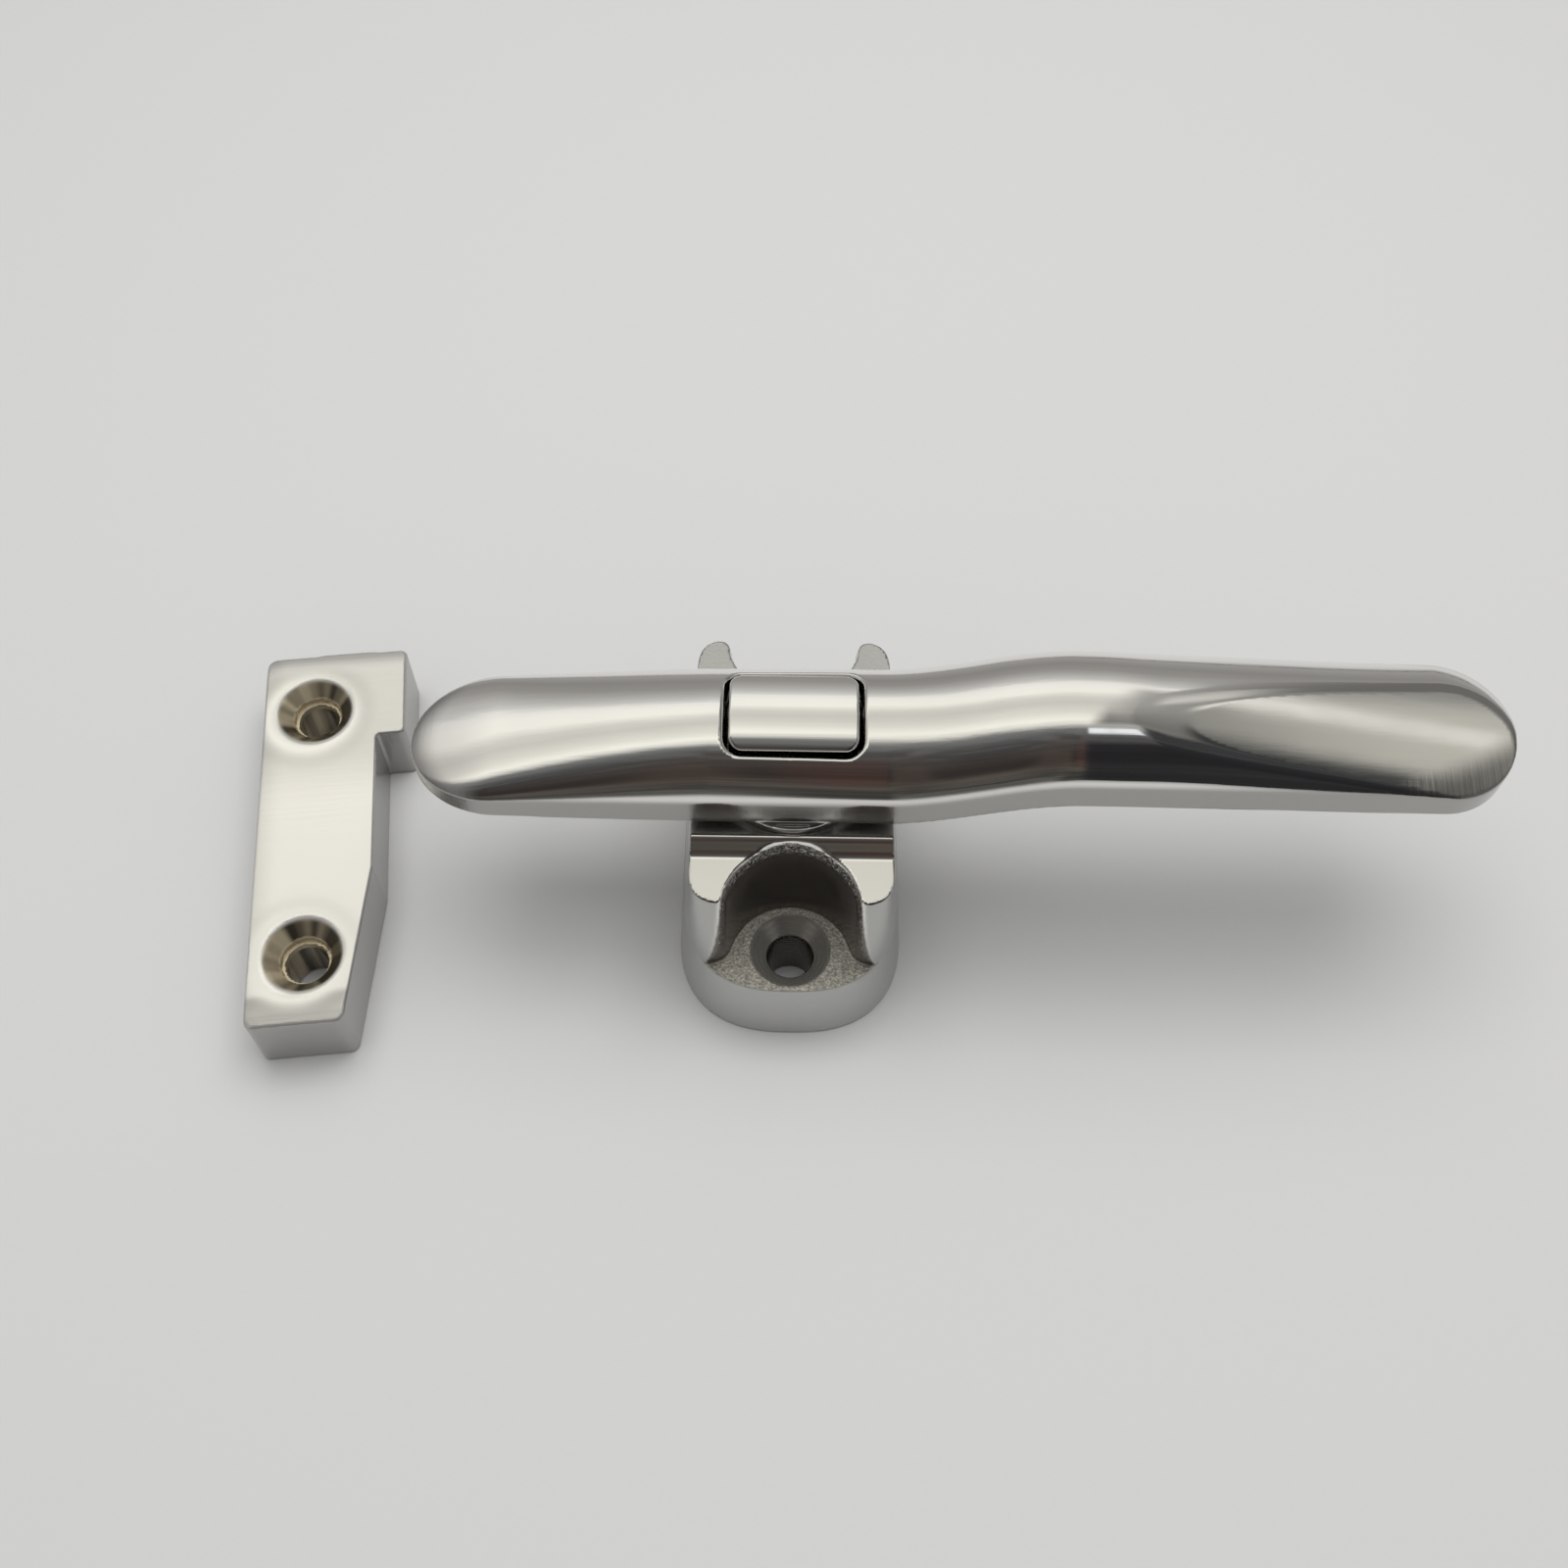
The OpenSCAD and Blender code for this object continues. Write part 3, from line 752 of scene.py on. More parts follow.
@dataclass(frozen=True)
class SatinSteel:
    """The keeper: satin brushed top and walls, with browner turned countersinks, and painted light and shade
    on the top and in the countersinks.

    Args:
        name: The material's name.
        tint: Colour of the metal.
        wall_tint: Colour of the side walls.
        painted_shade_tint: Painted shade, the grey where the top curves down towards its edges and its rear.
        sink_tint: Colour inside the countersinks.
        sink_shade_share: Share of that colour on the painted shaded side of the countersinks and in their
            streaks.
        metal: Share of metal in the satin surface.
        sink_matt: Share of metal that the countersinks have less.
        dull: Roughness of the satin surface.
        turn: Turn of the brush lines about Z.
    """

    name: str = "keeper_steel"
    tint: Colour = (0.975, 0.955, 0.90)
    wall_tint: Colour = (0.41, 0.402, 0.39)
    painted_shade_tint: Colour = (0.36, 0.355, 0.335)
    sink_tint: Colour = (0.62, 0.53, 0.37)
    sink_shade_share: float = 0.10
    metal: float = 0.76
    sink_matt: float = 0.2
    dull: float = 0.2
    turn: float = math.radians(6.5)

    def build(self) -> bpy.types.Material:
        """Makes the finish.

        Returns:
            The material.
        """
        material, bench = blank_material(self.name)
        turned, wall, streak = bench.mark("turned"), bench.mark("wall"), bench.mark("streak")
        lines = bench.noise(bench.places((40.0, 1300.0, 1300.0), self.turn), 3.0)
        brush = bench.noise(bench.places((1500.0, 1500.0, 60.0)), 2.0)
        cloud = bench.cloud(60.0)
        rings = bench.tool_lines(ToolLines.LEVELS, 420.0)
        dull = self.dull + 0.05 * cloud + 0.04 * lines - turned * (0.06 - 0.06 * rings)
        height = lines * (1.0 - turned) * (1.0 - wall * 0.8) + turned * rings * 0.25 + wall * brush * 1.2
        bump = bench.bump(height, strength=0.1, distance=0.0002)
        # Painted shade: grey on the top where it curves down and over its rear, leaving bright painted
        # highlight rings round the holes.
        tint = bench.blend(bench.mark("painted_shade"), self.tint, self.painted_shade_tint)
        tint = bench.blend(wall, tint, self.wall_tint)
        # Painted light and shade in the countersinks: the streak attribute moves their colour between a
        # darker and a lighter brown.
        sunk = bench.blend(streak, dimmed(self.sink_tint, self.sink_shade_share), self.sink_tint)
        tint = bench.blend(turned, tint, sunk)
        metal = self.metal - turned * self.sink_matt
        close_surface(bench, {"Base Color": tint, "Metallic": metal, "Roughness": dull, "Normal": bump})
        return material


@dataclass(frozen=True)
class TurnedMetal:
    """A lathe-turned or drawn metal, with fine rings round the pivot.

    Args:
        name: The material's name.
        tint: Colour of the metal.
        dull: Roughness.
        pitch: Rings per metre.
    """

    name: str
    tint: Colour
    dull: float = 0.26
    pitch: float = 700.0

    def build(self) -> bpy.types.Material:
        """Makes the finish.

        Returns:
            The material.
        """
        material, bench = blank_material(self.name)
        rings = bench.tool_lines(ToolLines.RINGS, self.pitch, bend=0.8, detail=2.0)
        cloud = bench.cloud(90.0)
        dull = self.dull + 0.1 * cloud + 0.05 * rings
        tint = bench.blend(cloud.between(0.3, 0.8), self.tint, dimmed(self.tint, 0.86))
        bump = bench.bump(rings, strength=0.15, distance=0.0001)
        close_surface(bench, {"Base Color": tint, "Metallic": 1.0, "Roughness": dull, "Normal": bump})
        return material


@dataclass(frozen=True)
class Acetal:
    """The white bearing plastic of the thrust washer.

    Args:
        name: The material's name.
        tint: Colour of the plastic.
        shade_tint: Its colour where it is a little darker.
    """

    name: str = "acetal_washer"
    tint: Colour = (0.86, 0.86, 0.83)
    shade_tint: Colour = (0.80, 0.80, 0.76)

    def build(self) -> bpy.types.Material:
        """Makes the finish.

        Returns:
            The material.
        """
        material, bench = blank_material(self.name)
        cloud = bench.cloud(300.0)
        tint = bench.blend(cloud.between(0.35, 0.7), self.tint, self.shade_tint)
        bump = bench.bump(cloud, strength=0.1, distance=0.0001)
        close_surface(bench, {"Base Color": tint, "Roughness": 0.38 + 0.1 * cloud, "Normal": bump})
        return material


def dress(piece: bpy.types.Object, material: bpy.types.Material) -> None:
    """Gives a piece this material and no other."""
    piece.data.materials.clear()
    piece.data.materials.append(material)


def seat(piece: bpy.types.Object, body: Body, slot: Slot, *nodes: str) -> None:
    """Hands a finished piece to the frame.

    Args:
        piece: The piece, with its place in its mesh.
        body: The body that it rides on.
        slot: The record's slot of its finish. Not used.
        nodes: The nodes that it stands for.
    """
    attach(piece, body.value)
    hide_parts(*nodes)
    LOG.info("%s: %d faces, rides on %s", piece.name, len(piece.data.polygons), body.value)


# The lever


@dataclass
class LeverHandle:
    """The cast lever: an arched hub, a flatter nose, and a bent grip with a ground facet.

    Sizes are in millimetres and angles in degrees. In all castings a name that ends in w is a width, in h a
    height over what lies below, in z a height over the door, in r a radius and in d a diameter. One that ends
    in power is an exponent. Each pair on the lean is where it changes and over what length.
    """

    hub_w: float = 23.0
    nose_w: float = 21.4
    grip_w: float = 22.8
    side_h: float = 4.9
    nose_side_h: float = 3.3
    crown_h: float = 6.5
    nose_crown_h: float = 0.8
    grip_crown_h: float = 2.8
    nose_reach: float = 56.3
    grip_reach: float = 103.8
    nose_cap: float = 13.0
    grip_cap: float = 11.0
    nose_power: float = 1.3
    grip_power: float = 1.6
    round_arch: float = 0.5
    sloped_arch: float = 0.8
    arch_ease: float = 0.1
    arch_span: float = 0.905
    crown_blend: float = 0.3
    least_narrowing: float = 0.02
    bend_start: float = 13.0
    bend_len: float = 28.0
    bend_rise: float = 5.6
    grip_fall: float = 0.9
    facet_fall: float = 7.0
    facet_tilt: float = 10.0
    facet_start: float = 55.0
    facet_bulge: float = 0.003
    lean: float = 1.5
    lean_grows: Pair = (-14.0, 28.0)
    lean_fades: tuple[Pair, ...] = ((28.0, 12.0), (44.0, 10.0))
    hub_half: float = 12.05
    boss_z: float = 33.13
    under_z: float = 34.53
    boss_d: float = 25.2
    boss_half_h: float = 0.9
    window: Pair = (20.1, 14.2)
    window_r: float = 2.7
    window_y: float = 0.9
    floor_z: float = 38.13
    head_r: float = 6.12
    head_h: float = 1.5
    neck_side: float = 10.04
    lower_edge_r: float = 0.4
    rim_r: float = 0.7
    facet_edge_r: float = 0.4
    boss_edge_r: float = 0.3
    boss_fillet_r: float = 0.35
    floor_edge_r: float = 0.4
    works_edge_r: float = 0.1
    net_half_w: float = 12.7
    net_top_z: float = 51.6
    cell: float = 0.4

    def to_nose(self, x: Array) -> Array:
        """0 on the hub and 1 at the nose's tip."""
        return clamp01((-self.hub_half - x) / (self.nose_reach - self.hub_half)) ** self.nose_power

    def to_grip(self, x: Array) -> Array:
        """0 before the bend and 1 after it."""
        return ease((x - self.bend_start) / self.bend_len)

    def to_end(self, x: Array) -> Array:
        """0 where the bend ends and 1 at the grip's end."""
        bend_end = self.bend_start + self.bend_len
        return clamp01((x - bend_end) / (self.grip_reach - bend_end))

    def underside(self, x: Array) -> Array:
        """Height of the handle's underside."""
        return self.under_z + self.bend_rise * self.to_grip(x) - self.grip_fall * ease(self.to_end(x))

    def side_top(self, x: Array) -> Array:
        """Height where the side wall turns into the crown."""
        return self.underside(x) + mix(self.side_h, self.nose_side_h, self.to_nose(x))

    def crown_rise(self, x: Array) -> Array:
        """Rise of the crown over the side walls.

        Args:
            x: Places along the lever.

        Returns:
            The rise at each place.
        """
        nose = mix(self.crown_h, self.nose_crown_h, self.to_nose(x))
        grip = mix(self.crown_h, self.grip_crown_h, self.to_end(x) ** self.grip_power)
        return np.where(x < 0, nose, grip)

    def arch(self, x: Array) -> Array:
        """Shape of the crown across: 0.5 is round, 1 has sloping shoulders."""
        share = (np.hypot(self.to_end(x), self.arch_ease) - self.arch_ease) / self.arch_span
        return mix(self.round_arch, self.sloped_arch, share)

    def ridge(self, x: Array) -> Array:
        """How far the crown's ridge leans to the rear, most of all at the bend.

        Args:
            x: Places along the lever.

        Returns:
            The lean at each place.
        """
        start, length = self.lean_grows
        fade = sum(0.5 * ease((x - at) / over) for at, over in self.lean_fades)
        return self.lean * ease((x - start) / length) * (1.0 - fade)

    def skin(self, x: Array, y: Array, z: Array) -> Array:
        """Side walls, round ends and crown in one field, not yet evened.

        Args:
            x: Places along the lever.
            y: Places across it.
            z: Heights.

        Returns:
            The field, negative inside.
        """
        nose_half, grip_half = (
            mix(self.hub_w, end, t) / 2
            for end, t in ((self.nose_w, self.to_nose(x)), (self.grip_w, self.to_grip(x)))
        )
        half = np.where(x < 0, nose_half, grip_half)
        nose_share = (-x - self.nose_reach + self.nose_cap) / self.nose_cap
        grip_share = (x - self.grip_reach + self.grip_cap) / self.grip_cap
        share = np.maximum(np.where(x < 0, nose_share, grip_share), 0.0)
        narrowing = np.sqrt(np.maximum(1.0 - share**2, self.least_narrowing))
        power = self.arch(x)
        rise = self.crown_rise(x) * narrowing ** (1.0 - 2.0 * power)
        over = z - self.side_top(x)
        climb = 0.5 * (over + np.sqrt(over**2 + self.crown_blend**2)) / rise
        across = y / half
        across = across - self.ridge(x) / half * np.maximum(1.0 - across**2, 0.0)
        return share**2 + across**2 - 1.0 + climb ** (1.0 / power)

    def facet(self, x: Array, y: Array, z: Array) -> Array:
        """Distance over the nearly flat face ground across the grip.

        Args:
            x: Places along the lever.
            y: Places across it.
            z: Heights.

        Returns:
            The distance, negative under the face.
        """
        fall, tilt = math.radians(self.facet_fall), math.radians(self.facet_tilt)
        across = np.array(self.facet_start)
        height = float(self.underside(across) + self.side_h + self.crown_rise(across))
        return (
            (x - self.facet_start) * math.cos(tilt) * math.sin(fall)
            - y * math.sin(tilt)
            + (z - height) * math.cos(tilt) * math.cos(fall)
            + self.facet_bulge * y**2
        )

    def shape(self, x: Array, y: Array, z: Array) -> Array:
        """The whole handle.

        Args:
            x: Places along the lever.
            y: Places across it.
            z: Heights.

        Returns:
            The field, negative inside.
        """
        solid = evened(self.skin)(x, y, z)
        solid = meet(solid, self.facet(x, y, z), self.facet_edge_r)
        solid = meet(solid, self.underside(x) - z, self.lower_edge_r)
        radius = np.hypot(x, y)
        disc = np.abs(z - self.boss_z - self.boss_half_h) - self.boss_half_h
        boss = meet(radius - self.boss_d / 2, disc, self.boss_edge_r)
        solid = join(solid, boss, self.boss_fillet_r)
        window = rounded_box(x, y - self.window_y, self.window, self.window_r)
        pocket = meet(window, self.floor_z - z, self.floor_edge_r)
        solid = cut(solid, pocket, self.rim_r)
        head = np.maximum(radius - self.head_r, np.abs(z - self.floor_z) - self.head_h)
        neck = np.maximum(np.maximum(np.abs(x), np.abs(y)) - self.neck_side / 2, z - self.floor_z)
        return cut(solid, np.minimum(head, neck), self.works_edge_r)

    def ground_mark(self, x: Array, y: Array, z: Array) -> Array:
        """1 on the face ground across the grip."""
        return near(self.facet(x, y, z), 0.03, 0.15)

    def flank_mark(self, x: Array, y: Array, z: Array) -> Array:
        """1 on the side walls below the crown and on the underside, 0 on the bright edge between them.

        Args:
            x: Places along the lever.
            y: Places across it.
            z: Heights.

        Returns:
            The mark at each place.
        """
        over = z - self.underside(x)
        below_crown = 1.0 - ease((z - self.side_top(x) - 0.1) / 1.1)
        over_edge = ease((over - 0.1) / 0.35)
        under = 1.0 - ease((over - 0.01) / 0.04)
        return np.maximum(below_crown * over_edge, under)

    def build(self) -> None:
        """Makes the handle and seats it."""
        low = (-self.nose_reach, -self.net_half_w, self.boss_z)
        high = (self.grip_reach, self.net_half_w, self.net_top_z)
        marks = {"flank": self.flank_mark, "ground": self.ground_mark}
        piece = Casting("lever_handle", self.shape, low, high, self.cell, marks).build()
        dress(piece, PolishedSteel("lever_polish").build())
        seat(piece, Body.LEVER, Slot.POLISHED, "handle")


@dataclass
class ThumbButton:
    """The push button in the hub's window, crowned as the hub is. Sizes are in millimetres."""

    size: Pair = (18.7, 12.8)
    corner_r: float = 2.0
    shift: float = 0.9
    foot_z: float = 41.03
    side_z: float = 39.43
    crown_h: float = 6.5
    hub_half_w: float = 11.5
    lean: float = 1.2
    proud: float = 0.25
    edge_r: float = 0.4
    foot_edge_r: float = 0.3
    bore_edge_r: float = 0.15
    spring_bore_r: float = 4.0
    spring_seat_z: float = 42.53
    stem_r: float = 2.02
    stem_top_z: float = 44.13
    net_x: Pair = (-9.4, 9.4)
    net_y: Pair = (-5.6, 7.4)
    net_top_z: float = 46.3
    cell: float = 0.17
    dull: float = 0.035

    def crown(self, x: Array, y: Array, z: Array) -> Array:
        """The arched top, not yet evened."""
        over = np.maximum(z - self.side_z - self.proud, 0.0) / self.crown_h
        return ((y - self.lean) / self.hub_half_w) ** 2 + over**2 - 1.0

    def shape(self, x: Array, y: Array, z: Array) -> Array:
        """The whole button.

        Args:
            x: Places along the lever.
            y: Places across it.
            z: Heights.

        Returns:
            The field, negative inside.
        """
        walls = rounded_box(x, y - self.shift, self.size, self.corner_r)
        solid = meet(walls, evened(self.crown)(x, y, z), self.edge_r)
        solid = meet(solid, self.foot_z - z, self.foot_edge_r)
        radius = np.hypot(x, y)
        spring = np.maximum(radius - self.spring_bore_r, z - self.spring_seat_z)
        stem = np.maximum(radius - self.stem_r, z - self.stem_top_z)
        return cut(solid, np.minimum(spring, stem), self.bore_edge_r)

    def build(self) -> None:
        """Makes the button and seats it."""
        low = (self.net_x[0], self.net_y[0], self.foot_z)
        high = (self.net_x[1], self.net_y[1], self.net_top_z)
        piece = Casting("button_cap", self.shape, low, high, self.cell).build()
        dress(piece, PolishedSteel("button_polish", dull=self.dull).build())
        seat(piece, Body.BUTTON, Slot.POLISHED, "thumb_button")


# What stays on the door


@dataclass
class BaseCasting:
    """The drafted base: level seat, lower wings round two open screw pockets, and a recessed back.

    Sizes are in millimetres, and slopes are millimetres of fall for each millimetre across. Each flare is a
    share of a mouth's widening and its exponent.
    """

    height: float = 33.0
    half_w: float = 17.7
    half_straight: float = 12.1
    cap: float = 17.4
    foot_power: float = 2.5
    wing_power: float = 6.5
    growth_power: float = 1.3
    tip_fall: float = 4.2
    rear_tip_fall: float = 2.6
    draft: float = 0.085
    seat_half: float = 13.2
    wing_z: float = 31.3
    wing_x: float = 15.67
    wing_slope: float = 0.0726
    ramp_slope: float = 0.95
    ramp_r: float = 0.5
    pocket_floor: float = 13.3
    pocket_r: float = 9.3
    pocket_draft: float = 0.05
    pocket_back: float = 14.4
    mouth_low: float = 13.1
    mouth_high: float = 10.5
    rear_mouth_high: float = 9.0
    mouth_power: float = 1.6
    mouth_most: float = 0.98
    flare_from: float = 0.342
    flare_most: float = 1.08
    soft_flare: Pair = (0.6, 3.5)
    sharp_flare: Pair = (0.4, 14.0)
    screw_y: float = 21.5
    hole_r: float = 3.5
    sink_r: float = 6.0
    sink_clear_h: float = 0.8
    recess_r: float = 9.5
    recess_z: float = 14.0
    bore_r: float = 6.52
    washer_r: float = 10.1
    washer_z: float = 32.0
    seat_edge_r: float = 0.45
    top_edge_r: float = 0.18
    rim_r: float = 0.42
    tip_r: float = 0.7
    rear_tip_r: float = 2.6
    root_r: float = 0.3
    tip_zone: float = 3.0
    tip_fade: float = 1.5
    pocket_floor_r: float = 0.6
    foot_edge_r: float = 0.25
    bore_edge_r: float = 0.25
    scoop_depths: Pair = (0.02, 0.38)
    burr_depths: Pair = (0.42, 2.4)
    burr_fade: float = 1.4
    mark_reach: float = 0.05
    mark_fade: float = 0.3
    rear_satin: float = 0.85
    net_reach: float = 29.6
    net_top_z: float = 33.1
    cell: float = 0.365

    def rise(self, z: Array) -> Array:
        """0 at a pocket's floor and 1 at the wings."""
        return clamp01((z - self.pocket_floor) / (self.wing_z - self.pocket_floor))

    def power(self, z: Array) -> Array:
        """Squareness of the round ends, which grows towards the wings."""
        return mix(self.foot_power, self.wing_power, self.rise(z) ** self.growth_power)

    def end_cap(self, y: Array, z: Array) -> Array:
        """Depth of the round ends, which the rounded wing tips shorten."""
        fall = np.where(y > 0, self.rear_tip_fall, self.tip_fall)
        return self.cap - self.draft * z - fall * self.rise(z) ** self.growth_power

    def wall(self, x: Array, y: Array, z: Array) -> Array:
        """The drafted outer wall, not yet evened.

        Args:
            x: Places across the base.
            y: Places along it.
            z: Heights.

        Returns:
            The field, negative inside.
        """
        width, cap, power = self.half_w - self.draft * z, self.end_cap(y, z), self.power(z)
        along = np.maximum(np.abs(y) - self.half_straight, 0.0) / cap
        return (((np.abs(x) / width) ** power + along**power) ** (1.0 / power) - 1.0) * width

    def top(self, y: Array, z: Array) -> Array:
        """Seat, hollow ramps and wings, seen from the side.

        Args:
            y: Places along the base.
            z: Heights.

        Returns:
            The distance, negative under the face.
        """
        out = np.abs(y)
        seat_face = z - self.height
        steep = math.hypot(self.ramp_slope, 1.0)
        ramp = ((out - self.seat_half) * self.ramp_slope + z - self.height) / steep
        wing = z - self.wing_z + (out - self.wing_x) * self.wing_slope
        return meet(seat_face, join(ramp, wing, self.ramp_r), self.seat_edge_r)

    def mouth_half(self, y: Array, z: Array) -> Array:
        """Half width of a pocket's mouth at a height."""
        t = clamp01((self.height - z) / (self.height - self.pocket_floor)) ** self.mouth_power
        return mix(np.where(y > 0, self.rear_mouth_high, self.mouth_high), self.mouth_low, t)

    def pocket_wall(self, x: Array, y: Array, z: Array) -> Array:
        """Round back wall of a screw pocket and its flared mouth, not yet evened.

        Args:
            x: Places across the base.
            y: Places along it.
            z: Heights.

        Returns:
            The field, negative in the pocket.
        """
        out = np.abs(y)
        rise = z - self.pocket_floor
        radius = self.pocket_r + self.pocket_draft * rise
        centre = self.pocket_back - self.pocket_draft * rise + radius
        mouth, power = self.mouth_half(y, z), self.power(z)
        share = np.minimum(mouth / (self.half_w - self.draft * z), self.mouth_most)
        edge = self.half_straight + self.end_cap(y, z) * (1.0 - share**power) ** (1.0 / power)
        start = centre - self.flare_from * radius
        flare = np.clip((out - start) / (edge - start), 0.0, self.flare_most)
        (soft, soft_power), (sharp, sharp_power) = self.soft_flare, self.sharp_flare
        widening = (mouth - radius) * (soft * flare**soft_power + sharp * flare**sharp_power)
        return np.hypot(x, np.minimum(out - centre, 0.0)) - radius - widening

    def pocket(self, x: Array, y: Array, z: Array) -> Array:
        """Both screw pockets."""
        return meet(evened(self.pocket_wall)(x, y, z), self.pocket_floor - z, self.pocket_floor_r)

    def sinks(self, x: Array, y: Array, z: Array) -> Array:
        """Both screw holes with their countersinks.

        Args:
            x: Places across the base.
            y: Places along it.
            z: Heights.

        Returns:
            The distance, negative in the holes.
        """
        radius = np.hypot(x, np.abs(y) - self.screw_y)
        depth = self.sink_r - self.hole_r
        cone = (radius - self.hole_r - (z - self.pocket_floor + depth)) / math.sqrt(2.0)
        cone = np.maximum(cone, z - self.pocket_floor - self.sink_clear_h)
        return np.minimum(cone, radius - self.hole_r)

    def works(self, x: Array, y: Array, z: Array) -> Array:
        """Recess of the lock works, bore of the bush and recess of the washer.

        Args:
            x: Places across the base.
            y: Places along it.
            z: Heights.

        Returns:
            The distance, negative in the bores.
        """
        radius = np.hypot(x, y)
        recess = np.maximum(radius - self.recess_r, z - self.recess_z)
        washer = np.maximum(radius - self.washer_r, self.washer_z - z)
        return np.minimum(np.minimum(recess, washer), radius - self.bore_r)

    def shape(self, x: Array, y: Array, z: Array) -> Array:
        """The whole base.

        Args:
            x: Places across the base.
            y: Places along it.
            z: Heights.

        Returns:
            The field, negative inside.
        """
        wall, top, pocket = evened(self.wall)(x, y, z), self.top(y, z), self.pocket(x, y, z)
        tip_r = mix(self.root_r, np.where(y > 0, self.rear_tip_r, self.tip_r), self.rise(z) ** 2)
        solid = cut(wall, pocket, tip_r)
        edge_r = mix(self.rim_r, self.top_edge_r, ease((pocket + wall + self.tip_zone) / self.tip_fade))
        solid = meet(solid, top, edge_r)
        solid = meet(solid, -z, self.foot_edge_r)
        bores = np.minimum(self.sinks(x, y, z), self.works(x, y, z))
        return cut(solid, bores, self.bore_edge_r)

    def scoop_depth(self, x: Array, y: Array, z: Array) -> tuple[Array, Array]:
        """Tells the pockets' walls from the rest, and how deep a place lies.

        Args:
            x: Places across the base.
            y: Places along it.
            z: Heights.

        Returns:
            1 on a pocket's wall and 0 elsewhere, and the depth under the base's outer skin.
        """
        on_wall = near(evened(self.pocket_wall)(x, y, z), self.mark_reach, self.mark_fade)
        skin = np.minimum(-self.top(y, z), -evened(self.wall)(x, y, z))
        return on_wall * (z > self.pocket_floor - 0.1), skin

    def scoop_mark(self, x: Array, y: Array, z: Array) -> Array:
        """1 on the dark cast walls of the pockets."""
        on_wall, skin = self.scoop_depth(x, y, z)
        return on_wall * ease((skin - mix(*self.scoop_depths, self.rise(z) ** 2)) / self.mark_fade)

    def grain_mark(self, x: Array, y: Array, z: Array) -> Array:
        """1 on the rough pocket floors."""
        return near(z - self.pocket_floor, self.mark_reach, self.mark_fade) * (self.pocket(x, y, z) < 0.5)

    def burr_mark(self, x: Array, y: Array, z: Array) -> Array:
        """1 on the sparkling band of a pocket's wall just under its rim.

        Args:
            x: Places across the base.
            y: Places along it.
            z: Heights.

        Returns:
            The mark at each place.
        """
        on_wall, skin = self.scoop_depth(x, y, z)
        start, end = self.burr_depths
        band = ease((skin - start) / self.mark_fade) * (1.0 - ease((skin - end) / self.burr_fade))
        return on_wall * band * self.rise(z)

    def turned_mark(self, x: Array, y: Array, z: Array) -> Array:
        """1 in the screw holes."""
        return near(self.sinks(x, y, z), 0.03, 0.12)

    def bore_mark(self, x: Array, y: Array, z: Array) -> Array:
        """1 in the plain screw holes under the countersinks, which take the painted shade."""
        below = self.pocket_floor - (self.sink_r - self.hole_r)
        return self.turned_mark(x, y, z) * ease((below + 0.2 - z) / 0.2)

    def satin_mark(self, x: Array, y: Array, z: Array) -> Array:
        """1 on the outer wall, on the seat under the handle and, fainter, on the wings behind.

        Args:
            x: Places across the base.
            y: Places along it.
            z: Heights.

        Returns:
            The mark at each place.
        """
        outer = near(evened(self.wall)(x, y, z), self.mark_reach, self.mark_fade)
        seat_face = (np.abs(z - self.height) < 0.03) * (np.abs(y) < self.seat_half - 0.6)
        behind = self.rear_satin * (np.abs(self.top(y, z)) < 0.1) * (y > self.wing_x)
        return np.maximum(outer, np.maximum(seat_face, behind))

    def build(self) -> None:
        """Makes the base and seats it."""
        marks = {
            "scoop": self.scoop_mark,
            "grain": self.grain_mark,
            "burr": self.burr_mark,
            "turned": self.turned_mark,
            "bore": self.bore_mark,
            "satin": self.satin_mark,
        }
        low, high = (-self.half_w, -self.net_reach, 0.0), (self.half_w, self.net_reach, self.net_top_z)
        piece = Casting("base_casting", self.shape, low, high, self.cell, marks).build()
        dress(piece, BaseSteel().build())
        seat(piece, Body.MOUNTING, Slot.POLISHED, "base")


